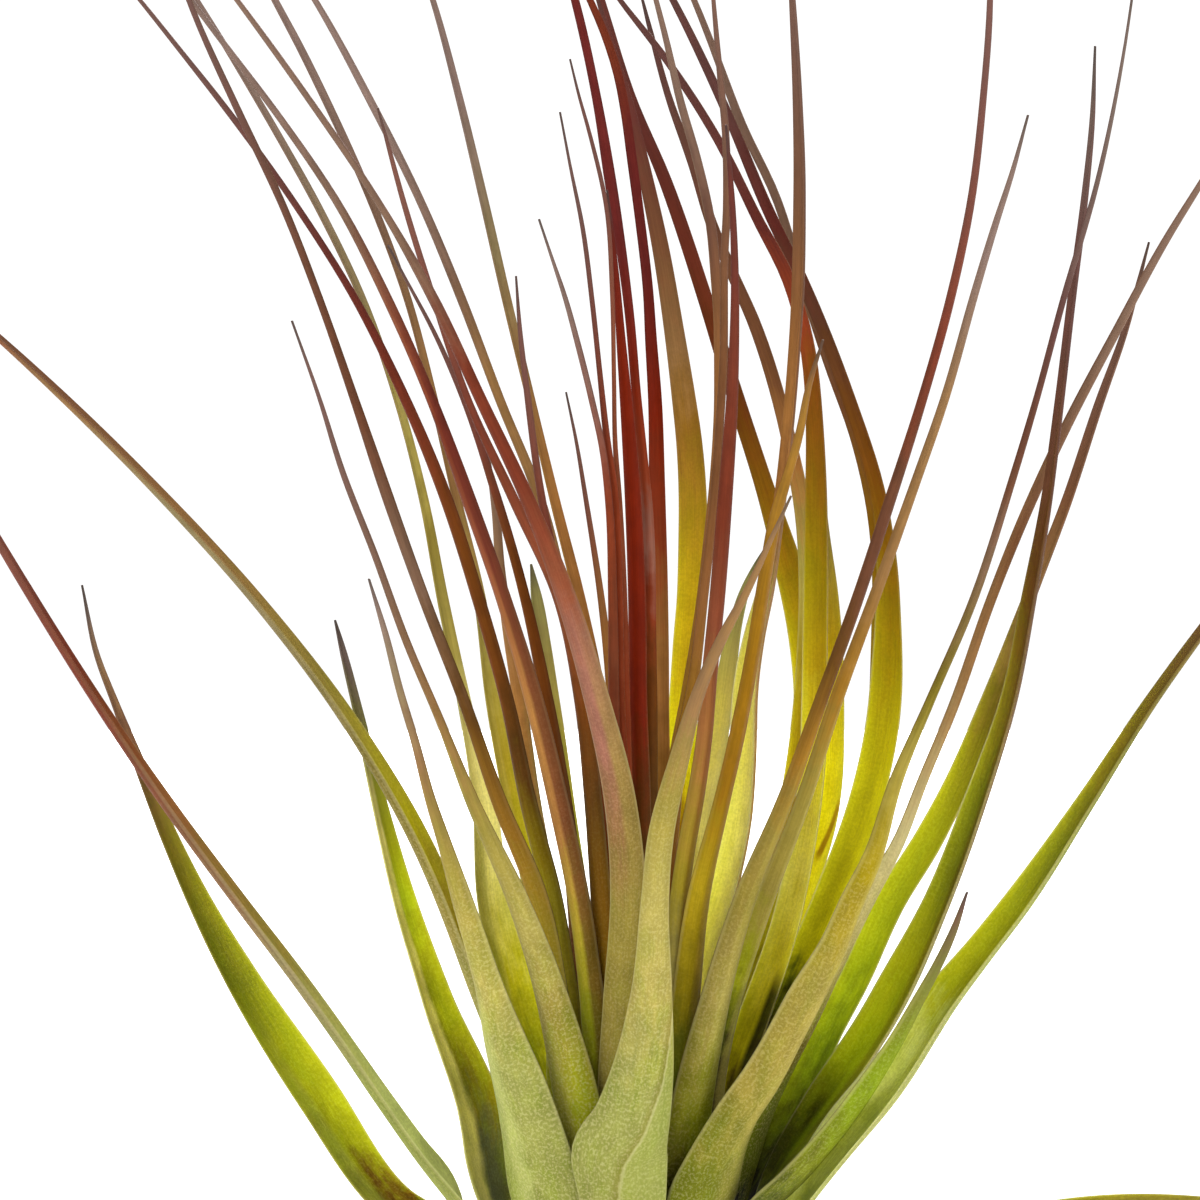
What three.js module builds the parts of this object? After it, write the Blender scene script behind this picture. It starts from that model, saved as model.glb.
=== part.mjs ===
import * as THREE from "three";

// An upright air plant: channelled leaves in a spiral on one short stem. Millimetres, +Z up,
// origin at the middle of the stem's flat foot, -Y towards the front.

// Driving dimensions
const UNIT = 1 / 7;              // size of one drawing unit of the leaf paths
const SIGHT = 1000;              // distance from which the front elevation is drawn
const TIP = Math.PI / 36;        // how far the front elevation looks down, 5 degrees
const AIM = [-4, 0, 800 * UNIT]; // middle of the front elevation
const FOOT_RADIUS = 6.6;         // flat spot under the stem
const FOOT_HEIGHT = 3;           // rounded part above it
const STEM_RADIUS = 8;           // stem at its widest
const CROWN_RADIUS = 3.5;        // stem at its flat top
const CROWN_HEIGHT = 25;
const BEVEL = 0.8;
const STEM_SIDES = 28;
const FIRST_ROOT = 2.6;          // height of the lowest leaf root
const LAST_ROOT = 23.2;          // height of the highest leaf root on the stem's side
const SEAT = 0.3;                // clearance between a root and the stem
const UPRIGHT_ROOM = 0.5;        // further clearance for a root that stands upright
const ROOT_WIDTH = 0.5;          // width of a root, as a share of the stem's radius there
const CROWN_ROOT_WIDTH = 2;      // width of a root on the stem's flat top
const BLADE = 0.8;               // thickness of a leaf along its middle
const MARGIN = 0.72;             // thickness of a leaf at its edges, square to the face
const MOST_SLOPE = 1.25;         // the edges are at most this much thicker along the channel's depth
const MIN_WIDTH = 1;             // width of a leaf at its tip
const SHEATH_LENGTH = 20;        // length of the nearly flat sheath
const BLADE_FROM = 35;           // length over which it folds into the channelled blade
const SHEATH_HOLLOW = 0.17;      // depth of the sheath's channel for half its width
const TURN_START = 10;           // where along the leaf its own turn begins
const TURN_OVER = 40;            // and how far it takes to be complete
const RING_TURN = 0.7;           // turn of a leaf at the side of the ring
const MOST_GROW = 1.5;           // a leaf drawn edge-on is at most this much wider than drawn
const GROW_FROM = 10;            // where along the leaf this widening begins
const GROW_OVER = 20;            // and how far it takes to be complete
const MOST_LEAN = 48;            // how far the front and back leaves lean out at the plant's top
const LEAN_RADIUS = 18;          // a leaf rooted this far forward or back leans the most
const LEAN_POWER = 1.25;
const SHEATH_TOP = 200;          // height in drawing units where the lean begins
const LEAF_TOP = 1400;           // height in drawing units where it is full
const STATIONS = 16;             // cross-sections along a leaf
const CROWDING = 1.45;           // above 1 they stand closer together near the root
const ACROSS = [-1, -0.45, 0.45, 1]; // points across a leaf, as shares of half its width
const STEEPEST = 2.5;            // limit on a curve's slope next to a flatter stretch

// Steps of a root: shares of the way out, of the way up, and of the widening
const ROOT = [[0, 0, 0], [0.3, 0.06, 0.3], [0.64, 0.3, 0.66]];

// How far the inner face looks up, and the blade's channel depth for half its width
const LOW_FORM = { lift: 1, hollow: 0.5, drawn: false };
const LEAF_FORM = { lift: 0.6, hollow: 0.62, drawn: true };
const CROWN_FORM = { lift: 0, hollow: 0.5, drawn: true };

const TINTS = {
  green: 0x7f8f3a,
  olive: 0x8e9048,
  tan: 0x96744a,
  rust: 0x874a2c,
  maroon: 0x6e2b26,
  gold: 0xa8902a,
  stem: 0x6d5a3e,
};

// Where the front elevation is drawn from
const EYE = new THREE.Vector3(AIM[0], -SIGHT * Math.cos(TIP), AIM[2] + SIGHT * Math.sin(TIP));

// A point and a width of the front elevation, carried along the sight line to their own depth
function onSight(u, v, away, width) {
  const a = (u * UNIT - AIM[0]) / SIGHT;
  const b = (v * UNIT - AIM[2]) / SIGHT;
  const t = (away - EYE.y) / (Math.cos(TIP) + b * Math.sin(TIP));
  const z = EYE.z + t * (b * Math.cos(TIP) - Math.sin(TIP));
  return [EYE.x + t * a, away, z, (width * UNIT * t) / SIGHT];
}

// The path of a drawn leaf. Leaves at the front lean forward as they rise, those at the back lean back.
function drawnPath(drawn) {
  const lean = MOST_LEAN * THREE.MathUtils.clamp(drawn[0][2] / LEAN_RADIUS, -1, 1);
  return drawn.map(([u, v, away, width]) => {
    const rise = Math.max(0, (v - SHEATH_TOP) / (LEAF_TOP - SHEATH_TOP));
    return onSight(u, v, away + lean * rise ** LEAN_POWER, width);
  });
}

// Radius of the stem at a height
function stemRadius(z) {
  const f = THREE.MathUtils.clamp((z - FOOT_HEIGHT) / (CROWN_HEIGHT - FOOT_HEIGHT), 0, 1);
  return STEM_RADIUS + (CROWN_RADIUS - STEM_RADIUS) * f;
}

// Low leaves, from the stem outward: name, tint, azimuth in degrees, bend, then [reach, height, width]
const LOW = [
  ["right_level", "green", 4, -10, [
    [17, 8, 7.6], [36, 17.4, 7.6], [57, 24, 6.4], [77, 26.2, 5], [97, 23.8, 3.6], [116, 13.6, 2.2],
    [131, 1.8, 1.1]
  ]],
  ["low_front", "green", -98, 10, [
    [16, 8.5, 9], [33, 15.5, 8], [52, 18.5, 6], [70, 15, 4.2], [84, 7.6, 2.4], [93, 1.2, 1.1]
  ]],
  ["low_back_left", "green", 130, -4, [
    [16, 8, 9], [35, 15, 8], [56, 17, 6], [76, 13, 4.2], [92, 5.4, 2.4], [100, 1.2, 1.1]
  ]],
  ["low_back_right", "green", 62, 9, [
    [16, 8, 9], [34, 13.5, 8], [54, 15.5, 6], [72, 12.4, 4.2], [88, 5.8, 2.4], [97, 1.2, 1.1]
  ]],
];

// Leaves in order from the lowest and outermost to the youngest. Each path runs from the top of
// the sheath to the tip: [across, up, depth away in mm, width]. Each row is name, tint, turn, path,
// where turn > 0 shows more of the inner face and null leaves it to the leaf's place in the ring.
const LEAVES = [
  ["left_wide", "green", 1.3, [
    [-144, 136, 6, 40], [-238, 198, 8, 42], [-308, 302, 10, 46], [-385, 420, 13, 36],
    [-429, 500, 15, 26], [-457, 560, 16, 20], [-490, 640, 18, 13], [-514, 700, 19, 8],
    [-531, 745, 20, 6], [-546, 815, 21, 2]
  ]],
  ["right_low_long", "green", 0.9, [
    [171, 190, -7.8, 54], [210, 258, -9.8, 49], [269, 338, -10.6, 43], [311, 400, -10.8, 37],
    [351, 450, -11.8, 31], [390, 500, -12.6, 29], [458, 600, -14.4, 20], [523, 700, -16, 14],
    [572, 768, -18, 12], [640, 856, -20, 8], [715, 945, -22, 2]
  ]],
  ["back_brown", "tan", null, [
    [131, 200, 13.6, 36], [163, 400, 17.6, 30], [205, 505, 19, 26], [238, 600, 20.2, 26],
    [252, 700, 20.4, 24], [253, 800, 19.6, 20], [245, 890, 18, 14], [228, 960, 16.4, 11],
    [200, 1038, 14.6, 10], [178, 1105, 13, 9.5], [147, 1205, 11, 9], [114, 1275, 9, 9],
    [84, 1355, 7, 7], [66, 1400, 6, 6], [28, 1480, 4, 2]
  ]],
  ["front_right_pale", "olive", 0, [
    [78, 200, -18, 68], [91, 240, -19.2, 56], [108, 280, -20.4, 45], [132, 320, -21.2, 41],
    [154, 360, -22.1, 38], [175, 400, -23, 37], [205, 455, -24, 29],
    [224, 500, -25, 25], [243, 540, -26, 21], [268, 620, -28, 15],
    [302, 700, -30, 10], [345, 800, -32, 9], [384, 920, -34, 8], [408, 1000, -35, 7],
    [435, 1100, -36, 6.5], [470, 1221, -37, 5], [496, 1349, -38, 3], [508, 1430, -38.5, 2]
  ]],
  ["left_low", "rust", 0.5, [
    [-176, 200, -9, 56], [-210, 250, -10, 33], [-243, 300, -11, 24], [-327, 420, -14, 20],
    [-388, 500, -16, 18], [-462, 600, -19, 16], [-530, 700, -22, 13], [-593, 800, -24, 11], [-658, 910, -26, 8],
    [-733, 1055, -28, 2]
  ]],
  ["front_centre", "olive", 0, [
    [-6, 200, -22.4, 88], [-9, 236, -23.2, 97], [4, 280, -24.2, 76], [13, 320, -25, 63],
    [23, 400, -26.8, 42], [27, 500, -28.2, 28],
    [33, 565, -29.5, 26], [51, 640, -31, 20], [68, 700, -32, 14], [93, 760, -33, 11],
    [117, 805, -34, 8], [145, 865, -35, 4.5], [163, 904, -35.5, 2]
  ]],
  ["left_upright", "green", 1.1, [
    [-137, 200, 2.5, 54], [-154, 300, 4, 46], [-190, 400, 6, 33], [-223, 500, 9, 25],
    [-249, 600, 12, 17], [-270, 690, 15, 11], [-285, 750, 17, 7], [-293, 780, 18, 2]
  ]],
  ["back_gold", "gold", null, [
    [86, 200, 17.2, 38], [115, 340, 20.4, 36], [148, 440, 22.2, 34], [177, 520, 23.3, 32],
    [197, 590, 23.8, 30], [203, 650, 23.8, 28], [203, 710, 23.5, 28], [199, 800, 22, 25],
    [193, 870, 21, 17], [188, 940, 20, 11], [185, 1010, 19, 2]
  ]],
  ["right_short", "green", 0.3, [
    [140, 190, -12.6, 60], [169, 220, -13.4, 55], [208, 270, -14, 42], [240, 318, -15, 31],
    [267, 360, -16, 22], [292, 405, -17, 15], [311, 440, -17.5, 11], [325, 470, -18, 8],
    [339, 508, -18.5, 2]
  ]],
  ["front_left_broad", "olive", 0, [
    [-86, 200, -16.4, 76], [-98, 260, -18.2, 65], [-111, 320, -20, 53], [-137, 410, -23, 30],
    [-165, 500, -26, 22], [-184, 560, -28, 15], [-197, 600, -29.5, 12], [-213, 660, -31.5, 9],
    [-228, 710, -33, 8], [-242, 765, -35, 6.5], [-259, 821, -37, 2]
  ]],
  ["right_dark", "green", 0.8, [
    [137, 200, 0, 34], [198, 300, -0.2, 37], [259, 400, -1.2, 38], [309, 500, -3.4, 28],
    [347, 600, -6, 24], [380, 700, -9.6, 18], [400, 800, -13.6, 16], [418, 900, -17.6, 12],
    [431, 1000, -20.5, 10], [443, 1100, -23, 9], [456, 1200, -25, 7.5], [464, 1280, -26.5, 5.5],
    [467, 1354, -28, 2]
  ]],
  ["back_broad_right", "gold", null, [
    [110, 200, 11.4, 36], [150, 380, 13.5, 35], [200, 500, 15, 33], [238, 600, 16, 36],
    [257, 700, 15.6, 35], [260, 800, 15.2, 26], [250, 905, 13.6, 17], [221, 1000, 12, 14.5],
    [176, 1115, 9.6, 13], [140, 1190, 8, 12], [100, 1285, 6, 10], [45, 1400, 3, 7], [-15, 1505, 0, 2]
  ]],
  ["sweep_back_lime", "olive", null, [
    [-78, 200, 12.8, 40], [-82, 300, 14, 44], [-109, 400, 15, 42], [-134, 500, 16, 36],
    [-144, 600, 16, 26], [-164, 700, 15, 15], [-185, 800, 13, 12.5], [-204, 900, 11, 10],
    [-230, 1000, 9, 8.5], [-265, 1100, 7, 8], [-308, 1190, 5, 8], [-348, 1262, 4, 7.5],
    [-388, 1330, 3, 6.5], [-431, 1400, 2, 5], [-480, 1478, 1, 2]
  ]],
  ["front_right_rear", "olive", 0, [
    [112, 200, -7, 48], [148, 320, -8, 46], [188, 410, -8.5, 38], [236, 500, -9, 25],
    [268, 555, -9, 15], [294, 620, -9, 11], [325, 695, -8, 10.5], [362, 800, -6.6, 10],
    [394, 880, -5.6, 11], [438, 975, -4.6, 10.5], [486, 1066, -4, 9], [539, 1163, -4, 7.5],
    [572, 1216, -4, 6], [637, 1322, -5, 2]
  ]],
  ["front_left_tall", "olive", 0, [
    [-40, 200, -15.6, 54], [-53, 300, -17.5, 48], [-75, 400, -20, 35], [-110, 500, -23, 24],
    [-156, 600, -26, 15], [-188, 680, -28.5, 9], [-222, 760, -31, 8], [-253, 845, -33.5, 7],
    [-286, 930, -36, 6], [-308, 1000, -38, 4], [-336, 1079, -40, 2]
  ]],
  ["back_amber", "gold", null, [
    [52, 200, 15.2, 38], [84, 280, 16.3, 38], [122, 410, 18.2, 36], [156, 540, 19, 36],
    [178, 630, 18.7, 37], [183, 700, 18.6, 36], [176, 770, 18, 34], [160, 835, 17, 28],
    [136, 915, 15.4, 19], [107, 1005, 13, 17], [76, 1105, 10.6, 15], [37, 1220, 7.6, 13],
    [4, 1300, 5.1, 10], [-26, 1400, 3.4, 6], [-50, 1480, 2, 2]
  ]],
  ["right_lime", "green", 0.8, [
    [119, 200, 6.4, 32], [172, 300, 7.4, 35], [200, 370, 8.2, 33], [226, 420, 8.7, 32],
    [263, 500, 9.2, 32], [300, 560, 9.2, 31], [326, 610, 9, 28], [363, 700, 8.4, 22], [400, 800, 7, 15],
    [437, 895, 5, 12], [472, 1000, 4, 10], [497, 1070, 3, 7], [521, 1158, 2, 2]
  ]],
  ["front_right_tall", "tan", null, [
    [53, 200, -15, 50], [68, 310, -17.5, 42], [92, 420, -20, 30], [118, 505, -21.5, 24],
    [157, 600, -24, 18], [193, 700, -26.5, 14.5], [229, 800, -29, 13], [262, 900, -31, 12],
    [294, 1000, -33, 10], [322, 1100, -34.8, 9.3], [344, 1205, -36.5, 8], [355, 1300, -37.5, 7],
    [362, 1400, -38.5, 6], [362, 1490, -39, 2]
  ]],
  ["left_long", "olive", 0.6, [
    [-108, 200, -5, 46], [-123, 340, -6.5, 38], [-162, 455, -8, 31], [-207, 560, -10, 26],
    [-278, 680, -13, 19], [-368, 798, -17, 14], [-468, 908, -21, 11], [-568, 1007, -25, 9],
    [-658, 1088, -28, 6], [-743, 1157, -31, 2]
  ]],
  ["back_olive_tall", "gold", null, [
    [70, 200, 11.6, 36], [88, 320, 13.2, 34], [118, 430, 14.4, 30], [145, 520, 15, 27],
    [165, 610, 14.9, 25], [176, 700, 14.9, 23], [180, 800, 14.4, 20], [173, 900, 13.6, 17],
    [163, 950, 13, 15.5], [151, 1000, 12.4, 14.5], [125, 1080, 11, 13], [105, 1125, 9.5, 12],
    [84, 1175, 9, 11.5], [65, 1235, 8, 9.5], [40, 1305, 7, 7], [23, 1367, 6.5, 5], [12, 1410, 6, 2]
  ]],
  ["sweep_back_olive", "olive", null, [
    [-46, 200, 12.2, 34], [-58, 300, 12.5, 34], [-74, 400, 13, 30], [-91, 500, 12.5, 26],
    [-114, 600, 11.5, 23], [-134, 700, 10, 18], [-148, 800, 8, 13], [-171, 900, 6, 9.5],
    [-194, 1000, 4, 8.5], [-220, 1100, 2, 8], [-259, 1205, 0, 8], [-302, 1300, -2, 8.5],
    [-328, 1353, -3, 8], [-353, 1400, -4, 7], [-388, 1470, -5, 5], [-420, 1535, -6, 2]
  ]],
  ["front_centre_tall", "tan", null, [
    [-6, 200, -13.8, 46], [-10, 300, -15.8, 42], [-6, 400, -17.8, 38], [0, 500, -19.8, 36],
    [-8, 600, -22, 32], [-31, 700, -24, 26], [-61, 800, -26, 21], [-100, 900, -28, 15],
    [-147, 1000, -29, 12], [-194, 1100, -30, 11], [-251, 1200, -31, 7], [-320, 1302, -32, 6.5],
    [-391, 1400, -33, 5], [-453, 1480, -34, 2]
  ]],
  ["front_right_second", "tan", null, [
    [76, 200, -10.2, 42], [82, 310, -12.5, 36], [101, 400, -14.5, 28], [136, 500, -17, 21],
    [175, 600, -20, 17], [208, 700, -23, 15], [245, 800, -26, 13], [288, 920, -29, 10.5],
    [316, 1000, -31, 9.5], [348, 1112, -33, 8.5], [368, 1178, -34, 7], [384, 1227, -34.5, 5],
    [400, 1285, -35, 2]
  ]],
  ["sweep_brown", "rust", null, [
    [-64, 200, -10, 38], [-67, 300, -11.6, 34], [-72, 400, -13.2, 28], [-89, 500, -15, 22],
    [-129, 600, -17, 17], [-164, 700, -19.5, 13], [-203, 800, -21, 12.5], [-239, 900, -22.5, 13],
    [-273, 1000, -24, 9.5], [-308, 1100, -25, 8], [-343, 1190, -26, 8], [-390, 1290, -27, 7.5],
    [-431, 1380, -27.5, 6], [-458, 1450, -28, 5], [-490, 1525, -28.5, 2]
  ]],
  ["back_yellow_tall", "gold", null, [
    [76, 200, 7.6, 38], [98, 290, 8.6, 36], [130, 390, 9.6, 33], [158, 480, 10.2, 30],
    [175, 560, 10.4, 28], [185, 650, 10.4, 28], [187, 760, 10, 27], [188, 880, 8.5, 25],
    [186, 985, 7, 19], [178, 1060, 6, 16], [160, 1122, 5, 14], [130, 1180, 4, 11], [90, 1260, 3, 9],
    [40, 1338, 2, 7.5], [-8, 1400, 1, 5], [-50, 1458, 0, 2]
  ]],
  ["front_orange", "rust", null, [
    [50, 200, -11.5, 40], [52, 300, -12.5, 36], [58, 400, -14, 31], [70, 500, -16.5, 25],
    [94, 600, -19.5, 18], [108, 660, -22, 17], [127, 760, -25, 15], [138, 830, -28, 14],
    [149, 890, -30, 13], [161, 930, -31, 10], [171, 965, -32, 8.5], [181, 1015, -33, 6],
    [195, 1060, -34, 2]
  ]],
  ["back_yellow_wide", "gold", null, [
    [16, 200, 11, 38], [28, 350, 12.5, 36], [40, 500, 13.5, 33], [50, 600, 14, 30], [56, 700, 14, 30],
    [60, 760, 13.5, 30], [64, 810, 13, 30], [65, 880, 12.5, 29], [61, 960, 11.5, 26],
    [56, 1000, 11, 24], [46, 1070, 10, 20], [33, 1150, 9, 17], [18, 1222, 8.6, 14], [0, 1300, 7.8, 9],
    [-18, 1360, 6, 6], [-38, 1425, 5, 2]
  ]],
  ["sweep_rose", "maroon", null, [
    [-25, 200, -12, 40], [-28, 300, -13.7, 34], [-36, 400, -14.6, 26], [-49, 500, -15.8, 23],
    [-70, 600, -16.8, 22], [-94, 700, -17.6, 20], [-124, 800, -18.2, 16], [-159, 900, -18.8, 15],
    [-196, 1000, -19, 11], [-240, 1100, -19, 10], [-288, 1193, -19, 8], [-348, 1282, -19, 7],
    [-403, 1355, -19, 6], [-437, 1400, -19, 5], [-478, 1460, -19, 3.5], [-510, 1510, -19, 2]
  ]],
  ["front_rose", "maroon", null, [
    [24, 200, -11.3, 36], [32, 320, -12, 30], [43, 400, -12.6, 24], [51, 500, -13.4, 20],
    [58, 550, -13.8, 19], [68, 605, -14.2, 18], [76, 660, -14.6, 16.5], [82, 730, -15, 16],
    [89, 800, -15, 16], [97, 900, -15, 15], [104, 1000, -15, 12], [107, 1100, -15, 8.5],
    [106, 1160, -15, 7], [104, 1200, -15, 6], [101, 1240, -15, 4], [98, 1275, -15, 2]
  ]],
  ["short_green_tip", "green", null, [
    [-31, 200, 9.6, 30], [-36, 300, 9.7, 29], [-40, 400, 9, 26], [-50, 500, 8.5, 23], [-62, 590, 8, 20],
    [-71, 660, 7, 18.5], [-77, 700, 6.5, 18], [-85, 760, 5.5, 15], [-91, 800, 5, 12], [-97, 836, 4.5, 2]
  ]],
  ["sweep_maroon", "maroon", null, [
    [-47, 200, -8.2, 36], [-53, 300, -9, 32], [-61, 400, -9.7, 26], [-75, 500, -10.6, 22],
    [-100, 600, -11.6, 19], [-121, 700, -12.6, 15.5], [-149, 800, -12.8, 14.5], [-181, 900, -13, 14],
    [-222, 1000, -13, 11], [-272, 1100, -13, 8], [-328, 1189, -13, 7], [-403, 1293, -13, 6.5],
    [-448, 1350, -13, 5], [-488, 1400, -13, 4], [-540, 1462, -13, 2]
  ]],
  ["sweep_red_thin", "rust", null, [
    [-10, 200, -9.9, 26], [-15, 300, -11.3, 26], [-20, 400, -12.6, 25], [-27, 500, -14.2, 21],
    [-35, 600, -15.6, 18], [-46, 700, -17, 16], [-68, 800, -18.3, 13], [-114, 900, -19.5, 10.5],
    [-160, 1000, -20.3, 7.5], [-194, 1100, -21, 6.5], [-225, 1200, -21.5, 5.5], [-240, 1255, -21.8, 4],
    [-250, 1292, -22, 2]
  ]],
  ["tall_tan", "tan", null, [
    [60, 200, 1.5, 36], [66, 330, 3, 34], [78, 455, 4.5, 32], [98, 525, 5, 30], [109, 580, 5, 29],
    [114, 640, 4, 28], [117, 710, 2, 26], [126, 765, 0, 22], [137, 810, -2, 18], [148, 875, -5, 13.5],
    [158, 960, -8, 12.5], [165, 1040, -10, 12.5], [170, 1130, -12, 13.5], [171, 1210, -13, 13],
    [169, 1300, -14, 10.5], [164, 1400, -15, 7], [158, 1490, -16, 2]
  ]],
  ["sweep_olive", "olive", null, [
    [-46, 200, 5.9, 30], [-40, 300, 6, 29], [-28, 400, 6, 28], [-16, 500, 5.5, 24], [-16, 600, 4.5, 20],
    [-28, 700, 3.5, 16], [-48, 800, 2.5, 13], [-73, 900, 2, 11], [-97, 1000, 2, 9.5],
    [-121, 1100, 2, 10], [-144, 1200, 2, 9.5], [-168, 1300, 3, 8], [-195, 1400, 4, 6],
    [-222, 1478, 5, 4], [-245, 1540, 5, 2]
  ]],
  ["back_rose", "maroon", null, [
    [22, 200, -8.3, 23], [27, 320, -9.5, 24], [32, 450, -10.3, 23], [41, 560, -11, 19],
    [52, 650, -11.6, 15], [64, 710, -12, 12], [75, 800, -12.4, 10], [86, 900, -12.6, 9],
    [92, 980, -12.6, 8.5], [96, 1060, -12.6, 8], [96, 1130, -12.6, 8], [99, 1200, -12.6, 8],
    [98, 1260, -12.6, 7.5], [93, 1315, -12.6, 6.5], [88, 1370, -12.6, 5], [84, 1420, -12.6, 3.5],
    [82, 1470, -12.6, 2]
  ]],
  ["back_green_short", "green", null, [
    [40, 200, 7.2, 32], [46, 400, 8.6, 30], [60, 500, 9.2, 28], [74, 590, 8.7, 26], [85, 640, 8.2, 25],
    [93, 690, 7.4, 24], [100, 735, 6, 20], [107, 775, 5, 15], [117, 810, 4, 10], [128, 835, 3.5, 5],
    [136, 850, 3, 2]
  ]],
  ["sweep_dark_thin", "rust", null, [
    [-42, 200, -4.2, 26], [-46, 300, -4.6, 25], [-47, 400, -5.2, 23], [-52, 500, -6.4, 20],
    [-64, 600, -8, 17.5], [-81, 700, -9, 15], [-102, 800, -9.5, 11.5], [-130, 900, -10, 9.5],
    [-164, 1000, -10, 6], [-190, 1060, -10, 4.5], [-228, 1132, -10, 2.5], [-240, 1155, -10, 2]
  ]],
  ["red_spear", "maroon", null, [
    [-4, 200, -7.8, 24], [-8, 300, -9.1, 24], [-12, 400, -10.3, 21], [-20, 500, -11.8, 18],
    [-31, 600, -13.3, 16], [-44, 700, -14.5, 13], [-65, 800, -15.3, 11], [-86, 900, -16, 8],
    [-100, 1000, -16.5, 6.5], [-108, 1070, -17, 4.5], [-112, 1124, -17, 2]
  ]],
  ["back_tan", "tan", null, [
    [35, 200, -5.6, 32], [34, 320, -6.6, 28], [34, 450, -8, 24], [38, 550, -8.6, 21], [48, 640, -9, 17],
    [60, 710, -9.5, 14], [71, 780, -9.8, 12], [80, 860, -10, 10], [87, 930, -10, 10],
    [91, 1010, -10, 10.5], [91, 1070, -10, 11], [88, 1120, -9.5, 11], [82, 1180, -9, 10],
    [69, 1240, -8.5, 9], [52, 1300, -8, 8], [37, 1365, -7, 6], [28, 1400, -6.5, 5], [12, 1460, -6, 2]
  ]],
  ["hidden_tan", "tan", null, [
    [-42, 200, -0.5, 23], [-51, 300, -0.6, 24], [-62, 400, -1.2, 23], [-78, 500, -1.6, 20],
    [-95, 600, -2.6, 17], [-108, 700, -3.4, 14], [-119, 770, -4.4, 12], [-127, 830, -4.5, 10],
    [-132, 890, -4.5, 8], [-138, 930, -4.5, 5], [-143, 965, -4.5, 2]
  ]],
  ["sweep_tan", "tan", null, [
    [-11, 200, -5.9, 26], [-13, 300, -6.9, 26], [-15, 400, -8.2, 25], [-17, 500, -9.4, 22],
    [-25, 600, -10.6, 19], [-41, 700, -11.6, 16], [-63, 800, -12.4, 13], [-88, 900, -13, 11],
    [-128, 1000, -13, 9.5], [-166, 1100, -13, 9.5], [-208, 1200, -13, 8.5], [-258, 1300, -13, 8],
    [-313, 1400, -13, 6], [-366, 1480, -13, 3.5], [-393, 1525, -13, 2]
  ]],
  ["thin_spear_b", "rust", null, [
    [12, 200, -4.8, 15], [3, 400, -5, 16], [-4, 600, -5.2, 14], [-9, 700, -4.9, 12],
    [-10, 800, -4.5, 10.5], [-13, 900, -4, 8.5], [-21, 960, -3.7, 7], [-28, 1025, -3.3, 5.5],
    [-36, 1100, -3, 5], [-45, 1170, -2.6, 4.5], [-58, 1235, -2.3, 3], [-68, 1288, -2, 2]
  ]],
  ["thin_spear_a", "rust", null, [
    [-21, 200, -2.1, 16], [-16, 400, -6.2, 16], [-13, 600, -8.2, 14], [-14, 700, -9, 12],
    [-15, 800, -9.4, 10], [-19, 900, -9.6, 8], [-25, 950, -9.6, 7], [-36, 1000, -9.6, 6.5],
    [-51, 1060, -9.6, 6], [-62, 1100, -9.6, 5], [-77, 1145, -9.6, 3], [-89, 1181, -9.6, 2]
  ]],
];

// The youngest leaves stand on the stem's flat top: name, tint, root [x, y], side, path
const CROWN = [
  ["red_core_rear", "maroon", [0.9, 1.7], 90, [
    [22, 200, 1.9, 26], [27, 350, 2.2, 25], [31, 500, 2.5, 23], [33, 600, 2.7, 20],
    [33, 700, 2.7, 16.5], [32, 800, 2.7, 16.5], [29, 920, 2.7, 16], [27, 1000, 2.5, 14],
    [23, 1060, 2.3, 12], [20, 1110, 2.2, 10.5], [12, 1180, 2, 10], [4, 1240, 2, 10], [-3, 1290, 2, 9.5],
    [-10, 1325, 2, 9], [-23, 1365, 2, 8], [-38, 1400, 2, 7], [-70, 1462, 2, 2]
  ]],
  ["red_core_right", "maroon", [0.7, 0.1], -90, [
    [13, 200, 0.2, 24], [17, 350, 0.2, 24], [20, 500, 0.2, 22], [21, 600, 0.2, 18], [22, 700, 0.2, 15],
    [22, 800, 0.2, 12], [20, 880, 0.2, 11.5], [14, 950, 0.1, 10], [8, 1010, 0, 9.5], [2, 1080, 0, 9.5],
    [-6, 1145, 0, 10], [-17, 1215, 0, 12], [-31, 1300, 0, 9.5], [-53, 1400, 0, 8.5], [-75, 1475, 0, 2]
  ]],
  ["grey_tip", "tan", [-1.9, 1.6], 90, [
    [-16, 200, 1.5, 18], [-13, 400, 1.4, 17], [-12, 600, 1.2, 14], [-16, 700, 1, 11],
    [-26, 795, 1, 7.5], [-42, 900, 1, 5], [-52, 960, 1, 3.5], [-62, 1008, 1, 2]
  ]],
  ["red_core_left", "maroon", [0.4, -1.2], -90, [
    [8, 200, -1.3, 22], [12, 400, -1.4, 24], [14, 500, -1.5, 22], [13, 600, -1.6, 20],
    [10, 700, -1.6, 18.5], [9, 800, -1.6, 18], [5, 900, -1.6, 16.5], [-2, 1000, -1.5, 12.5],
    [-7, 1060, -1.5, 9.5], [-12, 1125, -1.5, 6.5], [-17, 1175, -1.5, 4], [-21, 1210, -1.5, 2]
  ]],
  ["thin_spear_c", "rust", [0, -2.5], -90, [
    [1, 200, -2.8, 18], [0, 400, -3.4, 17], [-2, 600, -4, 14], [-4, 700, -4, 12], [-5, 800, -4, 9],
    [-9, 900, -4, 6.5], [-13, 960, -4, 5], [-14, 1020, -4, 4.5], [-16, 1110, -4, 4.5],
    [-22, 1195, -4, 4.5], [-38, 1265, -4, 4], [-50, 1308, -4, 3], [-58, 1341, -4, 2]
  ]],
];

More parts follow.
